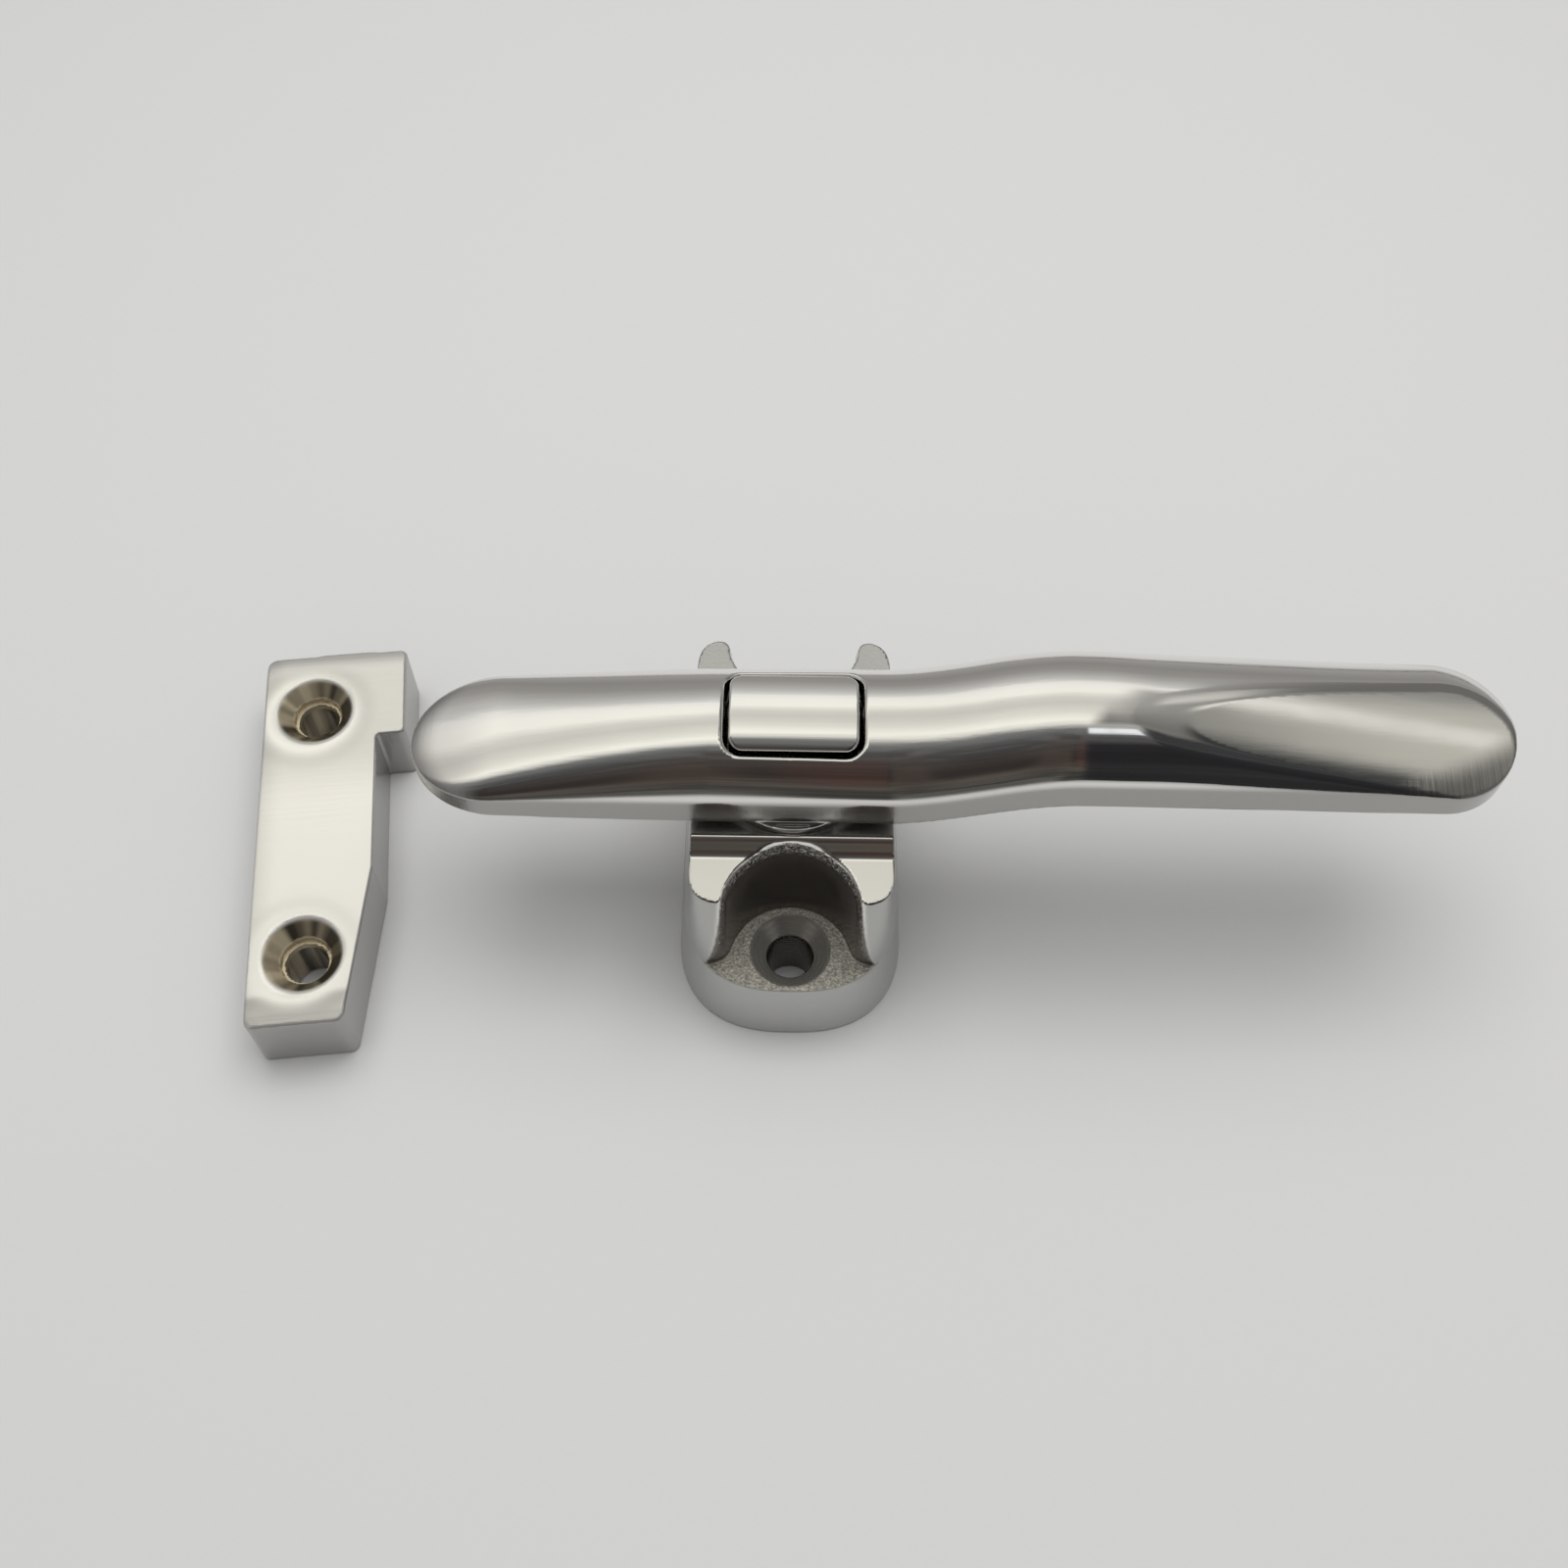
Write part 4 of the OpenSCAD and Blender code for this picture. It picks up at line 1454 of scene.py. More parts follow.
@dataclass
class Keeper:
    """The keeper: a satin bar with a lug, a tapered side and two countersunk holes.

    Sizes are in millimetres, in the keeper's own frame: u to its right and v to its rear. Each ease is the
    width over which the top face is rounded down along a side, and its slope at the edge. Each shade value is
    a depth of painted shade on the top, and the highlight ring values place the painted highlight round each
    hole.
    """

    centre: Pair = (-77.15, -0.6)
    yaw: float = math.radians(6.5)
    length: float = 68.1
    height: float = 12.5
    left: float = 8.5
    right: float = 10.3
    taper: float = 3.6
    taper_len: float = 26.0
    lug_out: float = 4.7
    lug_len: float = 17.3
    lug_corner_r: float = 1.2
    lug_fillet_r: float = 0.6
    corner_r: float = 1.6
    hole_y: float = 22.5
    hole_r: float = 3.3
    ledge_r: float = 3.9
    ledge_h: float = 1.0
    sink_r: float = 6.3
    sink_rim_r: float = 0.6
    edge_r: float = 0.5
    foot_edge_r: float = 0.25
    left_ease: Pair = (3.4, 0.22)
    lug_ease: Pair = (1.0, 0.3)
    front_ease: Pair = (4.0, 0.24)
    rear_ease: Pair = (4.6, 0.24)
    halo_depth: float = 0.13
    halo_reach: float = 2.4
    # Turn of the painted light round the rear countersink; then depths of the painted shade on the top, and
    # the place and width of the painted highlight ring round each hole.
    streak_turn: float = 0.6
    shade_left: float = 0.12
    shade_rear: float = 0.50
    shade_front: float = 0.60
    shade_upper: float = 0.34
    outer_ring_shade: float = 0.10
    highlight_ring_shift: float = 0.7
    highlight_ring_width: float = 1.1
    net_low: Triple = (-90.5, -36.0, 0.0)
    net_high: Triple = (-57.0, 36.5, 12.6)
    cell: float = 0.32

    def local(self, x: Array, y: Array) -> tuple[Array, Array]:
        """Places in the keeper's own frame.

        Args:
            x: Places across the scene.
            y: Places along it.

        Returns:
            The places u and v.
        """
        u, v = x - self.centre[0], y - self.centre[1]
        c, s = math.cos(self.yaw), math.sin(self.yaw)
        return u * c + v * s, v * c - u * s

    def plan(self, u: Array, v: Array) -> Array:
        """Outline with the lug.

        Args:
            u: Places to the keeper's right.
            v: Places to its rear.

        Returns:
            The distance, negative inside.
        """
        r, end = self.corner_r, self.length / 2
        corners = [
            (-self.left + r, -end + r),
            (self.right - self.taper - r, -end + r),
            (self.right - r, -end + self.taper_len),
            (self.right - r, end - r),
            (-self.left + r, end - r),
        ]
        bar = polygon(u, v, corners) - r
        reach = self.right + self.lug_out
        size = (reach, self.lug_len)
        lug = rounded_box(u - reach / 2, v - end + self.lug_len / 2, size, self.lug_corner_r)
        return join(bar, lug, self.lug_fillet_r)

    @staticmethod
    def drop(inwards: Array, width: float, slope: float) -> Array:
        """Fall of the top face along one side.

        Args:
            inwards: How far places lie inside the side.
            width: Width over which the face is eased.
            slope: Its slope at the edge.

        Returns:
            The fall at each place.
        """
        along = np.clip(width - inwards, 0.0, width)
        return slope * along**2 / (2.0 * width)

    def upper(self, u: Array, v: Array, z: Array) -> Array:
        """Height over the top face, not yet evened.

        Args:
            u: Places to the keeper's right.
            v: Places to its rear.
            z: Heights.

        Returns:
            The height, negative under the face.
        """
        end = self.length / 2
        falls = (
            self.drop(u + self.left, *self.left_ease)
            + self.drop(self.right + self.lug_out - u, *self.lug_ease)
            + self.drop(v + end, *self.front_ease)
            + self.drop(end - v, *self.rear_ease)
        )
        from_hole = np.hypot(u, np.abs(v) - self.hole_y) - self.sink_r
        falls = falls + self.halo_depth * np.exp(-((np.maximum(from_hole, 0.0) / self.halo_reach) ** 2))
        return z - self.height + falls

    def sinks(self, u: Array, v: Array, z: Array) -> Array:
        """Both holes with their ledges and countersinks.

        Args:
            u: Places to the keeper's right.
            v: Places to its rear.
            z: Heights.

        Returns:
            The distance, negative in the holes.
        """
        radius = np.hypot(u, np.abs(v) - self.hole_y)
        cone_h = self.sink_r - self.ledge_r
        cone = (radius - self.ledge_r - (z - self.height + cone_h)) / math.sqrt(2.0)
        ledge_z = self.height - cone_h - self.ledge_h
        ledge = np.maximum(radius - self.ledge_r, ledge_z - z)
        cone = np.maximum(cone, self.height - cone_h - z)
        return np.minimum(np.minimum(cone, ledge), radius - self.hole_r)

    def shape(self, x: Array, y: Array, z: Array) -> Array:
        """The whole keeper.

        Args:
            x: Places across the scene.
            y: Places along it.
            z: Heights.

        Returns:
            The field, negative inside.
        """
        u, v = self.local(x, y)
        solid = meet(self.plan(u, v), evened(self.upper)(u, v, z), self.edge_r)
        solid = meet(solid, -z, self.foot_edge_r)
        return cut(solid, self.sinks(u, v, z), self.sink_rim_r)

    def turned_mark(self, x: Array, y: Array, z: Array) -> Array:
        """1 in the screw holes."""
        return near(self.sinks(*self.local(x, y), z), 0.03, 0.2)

    def sink_light_mark(self, x: Array, y: Array, z: Array) -> Array:
        """Painted light and shade round the countersinks: a lighter and a darker side, finer bands, and a
        bright ledge ring.

        Args:
            x: Places across the scene.
            y: Places along it.
            z: Heights.

        Returns:
            The mark at each place.
        """
        u, v = self.local(x, y)
        angle = np.arctan2(np.abs(v) - self.hole_y, u) + np.where(v > 0, self.streak_turn, 0.0)
        # Painted light and shade: the broad term makes one side of each countersink lighter and the other
        # darker, the ledge term paints a bright ring.
        broad = 0.26 - 0.42 * np.cos(angle) + 0.10 * np.cos(2.0 * angle + 1.1)
        fine = 0.22 * np.cos(5.0 * angle) + 0.2 * np.cos(9.0 * angle + 2.0) + 0.1 * np.cos(17.0 * angle)
        ledge = 1.0 - ease((np.hypot(u, np.abs(v) - self.hole_y) - self.ledge_r - 0.05) / 0.15)
        return broad + fine + ledge * (z > self.height - 4.5)

    def painted_shade_mark(self, x: Array, y: Array, z: Array) -> Array:
        """Painted shade, grey along the top's edges and over its rear, with painted highlight rings round the
        holes.

        Args:
            x: Places across the scene.
            y: Places along it.
            z: Heights.

        Returns:
            The mark at each place.
        """
        u, v = self.local(x, y)
        end = self.length / 2
        # Painted shade: grey along the left edge, near both ends, in a band round each hole and over the rear
        # half.
        left = self.shade_left * (1.0 - ease((u + self.left - 0.8) / 3.8)) * ease((v + 26.0) / 16.0)
        rear = self.shade_rear * (1.0 - ease((end - v - 1.2) / 2.2))
        front = self.shade_front * near(v + end - 2.9, 1.4, 1.4)
        beside, beyond = u + self.highlight_ring_shift, np.abs(v) - self.hole_y + np.sign(v) * self.highlight_ring_shift
        from_rim = np.hypot(beside, beyond) - self.sink_r - 0.6
        # Painted highlight: the ring round each hole is kept clear of the grey.
        ring = np.exp(-((from_rim / self.highlight_ring_width) ** 2))
        shade = self.outer_ring_shade * np.exp(-(((from_rim - 2.6) / 1.4) ** 2))
        upper = self.shade_upper * ease((v - 4.0) / 12.0)
        return (left + np.maximum(rear, upper) + front + shade) * (1.0 - ring)

    def wall_mark(self, x: Array, y: Array, z: Array) -> Array:
        """1 on the side walls."""
        return near(self.plan(*self.local(x, y)), 0.05, 0.3)

    def build(self) -> None:
        """Makes the keeper and seats it."""
        marks = {
            "turned": self.turned_mark,
            "wall": self.wall_mark,
            # The next two marks are painted light and shade.
            "streak": self.sink_light_mark,
            "painted_shade": self.painted_shade_mark,
        }
        piece = Casting("keeper_bar", self.shape, self.net_low, self.net_high, self.cell, marks).build()
        dress(piece, SatinSteel().build())
        seat(piece, Body.MOUNTING, Slot.SATIN, "strike")


# Round pieces, by Geometry Nodes


@dataclass
class NodeRule:
    """A geometry tree whose inputs are named sizes.

    Args:
        name: The tree's name.
        tree: The tree.
        bench: The bench that it is on.
    """

    name: str
    tree: bpy.types.NodeTree = field(init=False)
    bench: Bench = field(init=False)

    def __post_init__(self) -> None:
        """Starts the tree with a geometry output and a material input."""
        self.tree = bpy.data.node_groups.new(self.name, "GeometryNodeTree")
        self.tree.interface.new_socket("Geometry", in_out="OUTPUT", socket_type="NodeSocketGeometry")
        self.tree.interface.new_socket("Finish", in_out="INPUT", socket_type="NodeSocketMaterial")
        self.bench = Bench(self.tree)

    def sizes(self, *names: str) -> dict[str, Value]:
        """Adds size inputs.

        Args:
            names: Their names.

        Returns:
            The sockets of the finish and of each size, by name.
        """
        for name in names:
            self.tree.interface.new_socket(name, in_out="INPUT", socket_type="NodeSocketFloat")
        group = self.bench.node("NodeGroupInput")
        return {name: group.out(name) for name in ("Finish", *names)}

    def close(self, shape: Value, finish: Value) -> None:
        """Ends the tree: real geometry, with its material.

        Args:
            shape: The geometry.
            finish: The material.
        """
        real = self.bench.node("GeometryNodeRealizeInstances", None, {0: shape}).out()
        sockets = {"Geometry": real, "Material": finish}
        dressed = self.bench.node("GeometryNodeSetMaterial", None, sockets).out()
        self.bench.node("NodeGroupOutput", None, {"Geometry": dressed})

    def piece(self, name: str, material: bpy.types.Material, sizes: dict[str, float]) -> bpy.types.Object:
        """Runs the tree on given sizes and keeps the result as a plain mesh.

        Args:
            name: The piece's name.
            material: Its finish.
            sizes: The tree's sizes by name, lengths in metres.

        Returns:
            The piece, with no modifier.
        """
        holder = bpy.data.objects.new(name, bpy.data.meshes.new(name + "_seed"))
        bpy.context.scene.collection.objects.link(holder)
        modifier = holder.modifiers.new("rule", "NODES")
        modifier.node_group = self.tree
        for socket in self.tree.interface.items_tree:
            if socket.in_out == "INPUT":
                modifier[socket.identifier] = material if socket.name == "Finish" else sizes[socket.name]
        graph = bpy.context.evaluated_depsgraph_get()
        mesh = bpy.data.meshes.new_from_object(holder.evaluated_get(graph))
        holder.modifiers.remove(modifier)
        holder.data = mesh
        mesh.name = name
        return holder


@dataclass(frozen=True)
class Ring:
    """A turned ring round the pivot, in millimetres.

    Args:
        name: The piece's name.
        node: The node that it stands for.
        body: The body that it rides on.
        outer: Outer radius.
        inner: Inner radius.
        low: Height of its lower face.
        high: Height of its upper face.
        edge: Radius of its edges.
    """

    name: str
    node: str
    body: Body
    outer: float
    inner: float
    low: float
    high: float
    edge: float

    def sizes(self) -> dict[str, float]:
        """Collects the sizes that the tree of a ring wants.

        Returns:
            The sizes by name, in metres.
        """
        sizes = {
            "Outer radius": self.outer,
            "Inner radius": self.inner,
            "Low": self.low,
            "High": self.high,
            "Edge radius": self.edge,
        }
        return {name: size * MILLIMETRE for name, size in sizes.items()}


@dataclass
class PivotRings:
    """The turned rings on the spindle: each a small rounded section swept round the pivot."""

    rings: tuple[Ring, ...] = (
        Ring("pivot_sleeve", "pivot_bush", Body.MOUNTING, 6.5, 5.05, 14.0, 31.999, 0.3),
        Ring("bearing_washer", "thrust_washer", Body.MOUNTING, 10.0, 5.1, 32.0, 33.1, 0.2),
        Ring("flat_washer", "plain_washer", Body.LEVER, 8.5, 5.1, 12.17, 12.97, 0.15),
    )
    steps_round: int = 96
    steps_in_edge: int = 4

    def rule(self) -> NodeRule:
        """Makes the tree of a ring: a rounded rectangle swept round a circle.

        Returns:
            The tree.
        """
        rule = NodeRule("turned_ring")
        size = rule.sizes("Outer radius", "Inner radius", "Low", "High", "Edge radius")
        bench = rule.bench
        middle = (size["Outer radius"] + size["Inner radius"]) * 0.5
        round_path = {"Resolution": self.steps_round, "Radius": middle}
        path = bench.node("GeometryNodeCurvePrimitiveCircle", None, round_path).out()
        box = {"Width": size["Outer radius"] - size["Inner radius"], "Height": size["High"] - size["Low"]}
        section = bench.node("GeometryNodeCurvePrimitiveQuadrilateral", {"mode": "RECTANGLE"}, box).out()
        corners = {"Curve": section, "Radius": size["Edge radius"], "Count": self.steps_in_edge}
        rounded = bench.node("GeometryNodeFilletCurve", {"mode": "POLY"}, corners).out()
        sockets = {"Curve": path, "Profile Curve": rounded}
        ring = bench.node("GeometryNodeCurveToMesh", None, sockets).out()
        level = bench.node("ShaderNodeCombineXYZ", None, {"Z": (size["High"] + size["Low"]) * 0.5}).out()
        lifted = bench.node("GeometryNodeTransform", None, {"Geometry": ring, "Translation": level}).out()
        rule.close(lifted, size["Finish"])
        return rule

    def build(self, finishes: dict[str, tuple[bpy.types.Material, Slot]]) -> None:
        """Makes the rings and seats them.

        Args:
            finishes: Material and slot of each node.
        """
        rule = self.rule()
        for ring in self.rings:
            material, slot = finishes[ring.node]
            piece = rule.piece(ring.name, material, ring.sizes())
            seat(piece, ring.body, slot, ring.node)


@dataclass
class ButtonSpring:
    """The coil under the button, its turns closing up towards both ends. Sizes are in millimetres."""

    radius: float = 3.3
    wire: float = 0.8
    low: float = 33.95
    high: float = 42.11
    turns: float = 5.0
    travel: float = 2.5
    steps_a_turn: int = 32
    steps_round_wire: int = 16

    def rule(self) -> NodeRule:
        """Makes the tree of a coil: round wire along an eased helix.

        Returns:
            The tree.
        """
        rule = NodeRule("wire_coil")
        size = rule.sizes("Coil radius", "Wire radius", "Low", "High", "Turns")
        bench = rule.bench
        winding = {
            "Resolution": self.steps_a_turn,
            "Rotations": size["Turns"],
            "Start Radius": size["Coil radius"],
            "End Radius": size["Coil radius"],
            "Height": 1.0,
        }
        helix = bench.node("GeometryNodeCurveSpiral", None, winding).out()
        place = bench.node("GeometryNodeInputPosition").out()
        split = bench.node("ShaderNodeSeparateXYZ", None, {0: place})
        eased = split.out("Z").between(0.0, 1.0)
        height = size["Low"] + (size["High"] - size["Low"]) * eased
        sockets = {"X": split.out("X"), "Y": split.out("Y"), "Z": height}
        moved = bench.node("ShaderNodeCombineXYZ", None, sockets).out()
        coil = bench.node("GeometryNodeSetPosition", None, {"Geometry": helix, "Position": moved}).out()
        round_wire = {"Resolution": self.steps_round_wire, "Radius": size["Wire radius"]}
        section = bench.node("GeometryNodeCurvePrimitiveCircle", None, round_wire).out()
        sockets = {"Curve": coil, "Profile Curve": section, "Fill Caps": True}
        rule.close(bench.node("GeometryNodeCurveToMesh", None, sockets).out(), size["Finish"])
        return rule

    def build(self, material: bpy.types.Material) -> None:
        """Makes the coil and seats it.

        Args:
            material: The coil's finish.
        """
        sizes = {
            "Coil radius": self.radius * MILLIMETRE,
            "Wire radius": self.wire / 2 * MILLIMETRE,
            "Low": self.low * MILLIMETRE,
            "High": self.high * MILLIMETRE,
            "Turns": self.turns,
        }
        piece = self.rule().piece("button_coil", material, sizes)
        piece.data.shade_smooth()
        seat(piece, Body.LEVER, Slot.SPRING, "button_spring")
        foot = self.low - self.wire / 2
        span = self.high + self.wire / 2 - foot
        kept = (span - self.travel) / span
        foot * MILLIMETRE
        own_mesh(piece)


@dataclass
class TurnedParts:
    """The inner pieces' finishes, for the solids that stay as they are and for the rings and the coil.

    Args:
        finishes: Material and slot of each node.
    """

    finishes: dict[str, tuple[bpy.types.Material, Slot]] = field(default_factory=dict)

    def prepare(self) -> None:
        """Makes one finish for each kind of inner piece."""
        turned = TurnedMetal("turned_steel", (0.62, 0.61, 0.60)).build()
        drawn = TurnedMetal("drawn_wire", (0.45, 0.45, 0.47), dull=0.22, pitch=400.0).build()
        bronze = TurnedMetal("bush_bronze", (0.66, 0.48, 0.27), dull=0.28, pitch=900.0).build()
        plastic = Acetal().build()
        for node in ("spindle", "ring_nut", "plain_washer", "stop_ring", "button_stem", "cross_pin"):
            self.finishes[node] = (turned, Slot.TURNED)
        for node in ("disc_spring", "button_spring"):
            self.finishes[node] = (drawn, Slot.SPRING)
        self.finishes["pivot_bush"] = (bronze, Slot.BRONZE)
        self.finishes["thrust_washer"] = (plastic, Slot.ACETAL)

    def dress_nodes(self, nodes: dict[str, bpy.types.Object]) -> None:
        """Gives every inner node its finish.

        Args:
            nodes: The frame's objects by node.
        """
        for name, (material, _) in self.finishes.items():
            dress(nodes[name], material)


# The studio


@dataclass
class Room:
    """What the mirror finish reflects: tones by angle, with zones laid over one another.

    The angle runs from 0 at the horizon in front over 90 straight up to 180 at the horizon behind, and the
    place to the right from -1 to 1. A pair of colours is a zone's tone at its start and at its end.

    Args:
        bench: The bench of the world's tree.
        levels: Angle and colour of each tone.
        right: How far a ray goes to the right.
        away: How far it goes to the rear.
        up: How far it goes up.
        over: Its angle over the horizon in front, in degrees.
        tone: Colour of the room so far.
    """

    bench: Bench
    levels: tuple[tuple[float, Colour], ...] = (
        (0.0, (0.26, 0.26, 0.25)),
        (5.0, (0.20, 0.196, 0.186)),
        (12.0, (0.115, 0.111, 0.102)),
        (22.0, (0.085, 0.080, 0.072)),
        (40.0, (0.105, 0.092, 0.080)),
        (52.0, (0.042, 0.033, 0.029)),
        (62.0, (0.044, 0.036, 0.033)),
        (72.0, (0.066, 0.060, 0.058)),
        (84.0, (0.13, 0.13, 0.133)),
        (90.5, (0.19, 0.192, 0.19)),
        (94.5, (0.72, 0.71, 0.66)),
        (98.5, (1.0, 0.985, 0.90)),
        (105.0, (0.80, 0.785, 0.72)),
        (114.0, (0.64, 0.63, 0.585)),
        (119.0, (0.70, 0.69, 0.64)),
        (125.0, (0.97, 0.95, 0.88)),
        (131.0, (0.95, 0.935, 0.88)),
        (135.0, (0.86, 0.85, 0.81)),
        (137.5, (0.66, 0.655, 0.63)),
        (140.0, (0.56, 0.555, 0.54)),
        (146.0, (0.41, 0.405, 0.39)),
        (153.0, (0.31, 0.30, 0.29)),
        (164.0, (0.265, 0.258, 0.248)),
        (180.0, (0.35, 0.34, 0.33)),
    )
    streak: Colour = (0.018, 0.018, 0.018)
    brown: Colour = (0.080, 0.062, 0.052)
    red: Colour = (0.090, 0.048, 0.040)
    low: Colour = (0.030, 0.029, 0.027)
    night: Colour = (0.014, 0.015, 0.018)
    far_right: Colour = (0.30, 0.295, 0.29)
    curtain: tuple[Colour, Colour] = ((0.17, 0.165, 0.155), (0.37, 0.365, 0.345))
    upper: tuple[Colour, Colour] = ((0.36, 0.355, 0.34), (0.15, 0.148, 0.142))
    board: tuple[Colour, Colour] = ((0.27, 0.267, 0.245), (0.50, 0.49, 0.44))
    board_top: Colour = (0.25, 0.25, 0.24)
    board_foot: Colour = (0.034, 0.036, 0.038)
    gleam: Colour = (0.92, 0.91, 0.85)
    fold: tuple[Colour, Colour] = ((0.62, 0.61, 0.57), (0.36, 0.355, 0.34))
    slate: Colour = (0.042, 0.043, 0.046)
    pane: Colour = (0.95, 0.98, 1.0)
    far_left: Colour = (0.34, 0.335, 0.33)
    right: Value = field(init=False)
    away: Value = field(init=False)
    up: Value = field(init=False)
    over: Value = field(init=False)
    tone: Value = field(init=False)

    def __post_init__(self) -> None:
        """Finds the direction of a ray, and starts from the tones by angle."""
        towards = self.bench.node("ShaderNodeTexCoord").out("Generated")
        split = self.bench.node("ShaderNodeSeparateXYZ", None, {0: towards})
        self.right, self.away, self.up = split.out("X"), split.out("Y"), split.out("Z")
        self.over = self.up.joined("ARCTAN2", self.up, 0.0 - self.away) * (180.0 / math.pi)
        ramp = [(angle / 180.0, colour) for angle, colour in self.levels]
        self.tone = self.bench.node("ShaderNodeValToRGB", {"stops": ramp}, {0: self.over / 180.0}).out()

    def lay(self, share: Value, tone: Value | Colour) -> None:
        """Lays a tone over the room where the share is 1."""
        self.tone = self.bench.blend(share, self.tone, tone)

    def lay_front(self) -> None:
        """The dark front: streaks, a brown and a red patch, a dark foot, and night on the right."""
        over, right = self.over, self.right
        front = 1.0 - over.between(80.0, 92.0)
        places = {"X": right * 4.0, "Y": over / 5.0, "Z": self.away}
        lined = self.bench.node("ShaderNodeCombineXYZ", None, places).out()
        streaks = self.bench.noise(lined, 3.0).between(0.38, 0.68)
        self.lay(front * (1.0 - streaks) * 0.5, self.streak)
        brown = over.within(58.0, 22.0, 20.0) * right.within(-0.135, 0.135, 0.12)
        self.lay(front * brown * 0.5, self.brown)
        red = over.within(57.0, 20.0, 24.0) * right.between(0.02, 0.06) * (1.0 - right.between(0.1, 0.2))
        self.lay(front * red * (0.3 + 0.4 * streaks), self.red)
        low = (1.0 - over.between(10.0, 34.0)) * right.between(-0.03, 0.05)
        self.lay(front * low * 0.7, self.low)
        dusk = over.between(72.0, 80.0) * (1.0 - right.between(0.24, 0.3))
        night = front * right.between(0.09, 0.2) * (1.0 - dusk)
        self.lay(night * 0.8, self.night)
        self.lay(front * right.between(0.55, 0.64) * 0.75, self.far_right)

    def lay_curtains(self) -> None:
        """The grey curtains that end the bright panel on the right."""
        over, right = self.over, self.right
        edge = (right - (over - 110.0) * 0.002).between(0.205, 0.245)
        curtain = self.bench.blend(over.between(95.0, 116.0), *self.curtain)
        self.lay(edge * over.within(113.0, 19.0, 8.0), curtain)
        upper = self.bench.blend(right.between(0.3, 0.5), *self.upper)
        self.lay(right.between(0.29, 0.36) * over.within(131.0, 21.0, 8.0), upper)

    def lay_board(self) -> None:
        """What the ground facet reflects: a board with a dark foot and a gleam, and a fold beside it."""
        over, right, blend = self.over, self.right, self.bench.blend
        board = blend(right.between(0.42, 0.56), *self.board)
        board = blend(over.between(107.5, 111.0), board, self.board_top)
        board = blend((over + right * 27.0).between(112.1, 115.1), self.board_foot, board)
        gleam = (over + right * 24.0 - 118.34).within(0.0, 1.2, 1.6) * right.between(0.385, 0.42)
        board = blend(gleam * (1.0 - 0.4 * right.between(0.46, 0.56)), board, self.gleam)
        self.lay(right.between(0.4, 0.435) * over.within(105.0, 11.0, 6.0), board)
        fold = blend(over.between(114.0, 126.0), *self.fold)
        self.lay(over.within(118.5, 6.0, 4.5) * right.within(0.385, 0.055, 0.05), fold)

    def lay_ceiling(self, below: Colour) -> None:
        """The slate and the small bright pane overhead, the far left, and the floor under the horizon.

        Args:
            below: The floor's colour.
        """
        over, right = self.over, self.right
        slate = over.within(90.0, 5.5, 4.0) * right.between(0.25, 0.29)
        self.lay(slate * (1.0 - right.between(0.55, 0.64)), self.slate)
        self.lay(over.within(88.5, 2.6, 2.0) * right.within(0.205, 0.035, 0.035), self.pane)
        self.lay((1.0 - right.between(-0.75, -0.45)) * 0.7, self.far_left)
        self.lay(1.0 - self.up.between(-0.03, 0.0), below)

    def build(self, below: Colour) -> Value:
        """Lays all the zones, each over the ones before it.

        Args:
            below: The floor's colour.

        Returns:
            The colour of the room in a ray's direction.
        """
        self.lay_front()
        self.lay_curtains()
        self.lay_board()
        self.lay_ceiling(below)
        return self.tone


@dataclass(frozen=True)
class SoftLamp:
    """A wide rectangular lamp that faces the origin.

    Args:
        name: The lamp's name.
        place: Where it hangs, in metres.
        width: Its width, in metres.
        energy: Its power, in watts.
    """

    name: str
    place: Triple
    width: float
    energy: float


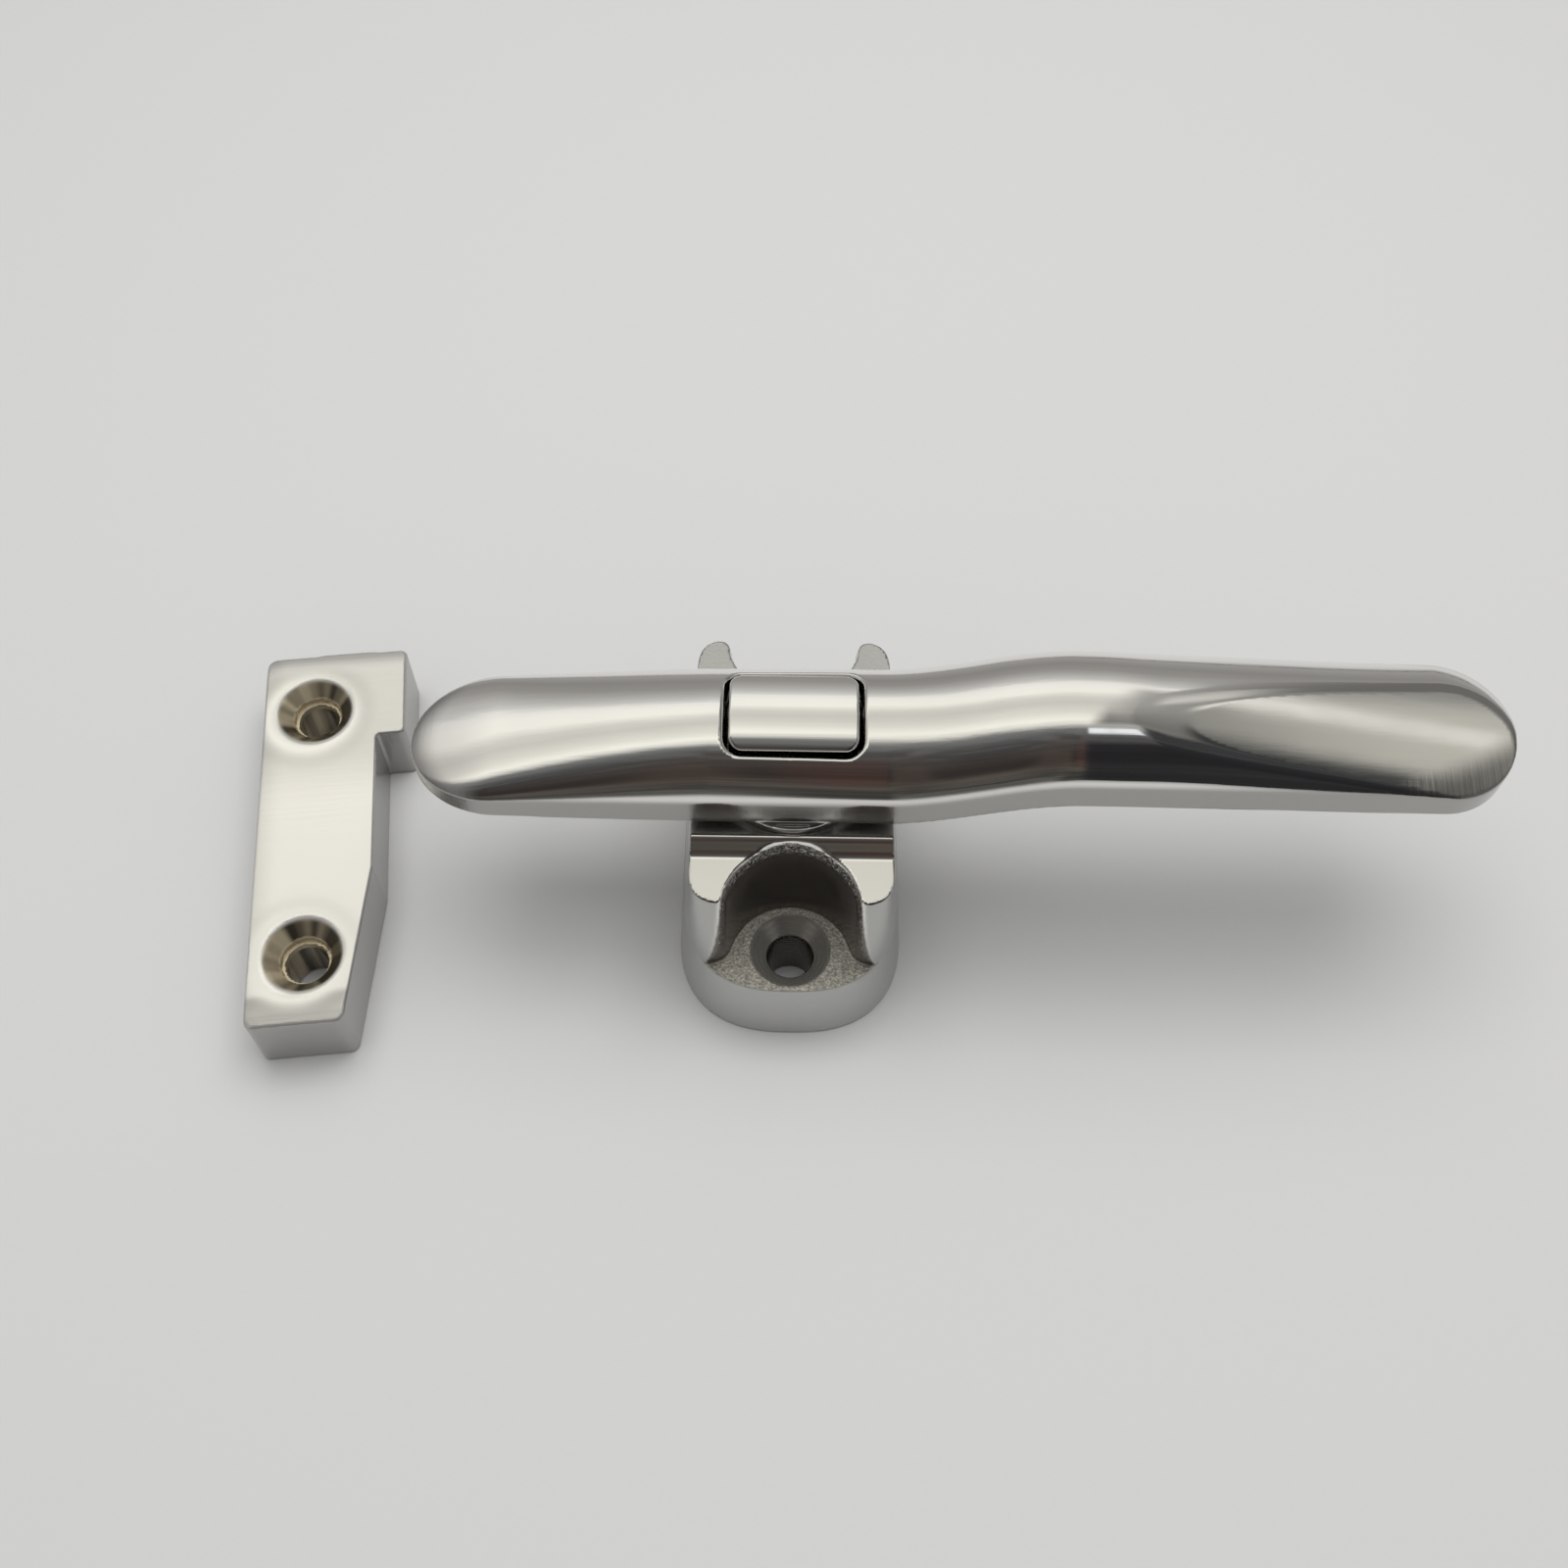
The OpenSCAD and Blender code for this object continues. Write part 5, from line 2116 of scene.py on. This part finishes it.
@dataclass
class Studio:
    """Pale floor, soft light from above and the camera at the photograph's place.

    Lengths are in metres, angles in degrees, and the lens and the sensor in millimetres.
    """

    pale: Colour = (0.64, 0.64, 0.635)
    grain_share: float = 0.985
    floor_half: float = 2.0
    floor_drop: float = 0.0002
    soft_lamps: tuple[SoftLamp, ...] = (
        SoftLamp("overhead", (0.0, 0.07, 0.70), 0.67, 2.4),
        SoftLamp("behind", (0.12, 0.38, 0.98), 1.0, 3.6),
    )
    lamp_tint: Colour = (1.0, 0.995, 0.985)
    lamp_depth: float = 0.7
    matt_light: Colour = (0.41, 0.41, 0.41)
    eye: Triple = (-0.0013, -0.13274, 0.245)
    pitch: float = 58.7
    roll: float = 0.8
    lens: float = 38.41
    sensor: float = 36.0
    clip: Pair = (0.01, 10.0)

    def floor(self) -> None:
        """A wide matt sheet just under the part."""
        half, low = self.floor_half, -self.floor_drop
        mesh = bpy.data.meshes.new("floor")
        corners = [(-half, -half, low), (half, -half, low), (half, half, low), (-half, half, low)]
        mesh.from_pydata(corners, [], [(0, 1, 2, 3)])
        sheet = bpy.data.objects.new("floor", mesh)
        bpy.context.scene.collection.objects.link(sheet)
        material, bench = blank_material("floor_paper")
        tint = bench.blend(bench.cloud(900.0, 2.0), self.pale, dimmed(self.pale, self.grain_share))
        close_surface(bench, {"Base Color": tint, "Roughness": 0.9, "Specular IOR Level": 0.1})
        dress(sheet, material)

    def lamps(self) -> None:
        """Hangs the wide soft lamps, kept out of the mirror finish."""
        for soft in self.soft_lamps:
            data = bpy.data.lights.new(soft.name, "AREA")
            data.shape, data.size, data.size_y = "RECTANGLE", soft.width, self.lamp_depth * soft.width
            data.energy = soft.energy
            data.color = self.lamp_tint
            lamp = bpy.data.objects.new(soft.name, data)
            bpy.context.scene.collection.objects.link(lamp)
            spot = Vector(soft.place)
            lamp.matrix_world = Matrix.Translation(spot) @ spot.to_track_quat("Z", "Y").to_matrix().to_4x4()
            lamp.visible_glossy = False

    def surroundings(self) -> None:
        """The world: plain for the eye and for matt surfaces, and the room for the mirror."""
        world = bpy.data.worlds.new("studio")
        bpy.context.scene.world = world
        world.use_nodes = True
        world.node_tree.nodes.clear()
        bench = Bench(world.node_tree)
        room = Room(bench).build(self.pale)
        rays = bench.node("ShaderNodeLightPath")
        light = bench.blend(rays.out("Is Glossy Ray"), self.matt_light, room)
        light = bench.blend(rays.out("Is Camera Ray"), light, self.pale)
        backdrop = bench.node("ShaderNodeBackground", None, {"Color": light, "Strength": 1.0}).out()
        bench.node("ShaderNodeOutputWorld", None, {"Surface": backdrop})

    def camera(self) -> None:
        """The photograph's view."""
        data = bpy.data.cameras.new("photograph")
        data.lens, data.sensor_width = self.lens, self.sensor
        data.clip_start, data.clip_end = self.clip
        camera = bpy.data.objects.new("photograph", data)
        bpy.context.scene.collection.objects.link(camera)
        tip = Matrix.Rotation(math.radians(90.0 - self.pitch), 4, "X")
        lean = Matrix.Rotation(math.radians(self.roll), 4, "Z")
        camera.matrix_world = Matrix.Translation(self.eye) @ tip @ lean
        bpy.context.scene.camera = camera

    def build(self) -> None:
        """Sets up floor, light, room and camera."""
        self.floor()
        self.lamps()
        self.surroundings()
        self.camera()
        bpy.context.scene.view_settings.view_transform = "Standard"


def main() -> None:
    """Builds the whole scene round the frame."""
    logging.basicConfig(level=logging.INFO, format="%(name)s: %(message)s")
    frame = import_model()
    Studio().build()
    inner = TurnedParts()
    inner.prepare()
    inner.dress_nodes(frame["nodes"])
    BaseCasting().build()
    LeverHandle().build()
    ThumbButton().build()
    Keeper().build()
    PivotRings().build(inner.finishes)
    ButtonSpring().build(inner.finishes["button_spring"][0])


if __name__ == "__main__":
    main()
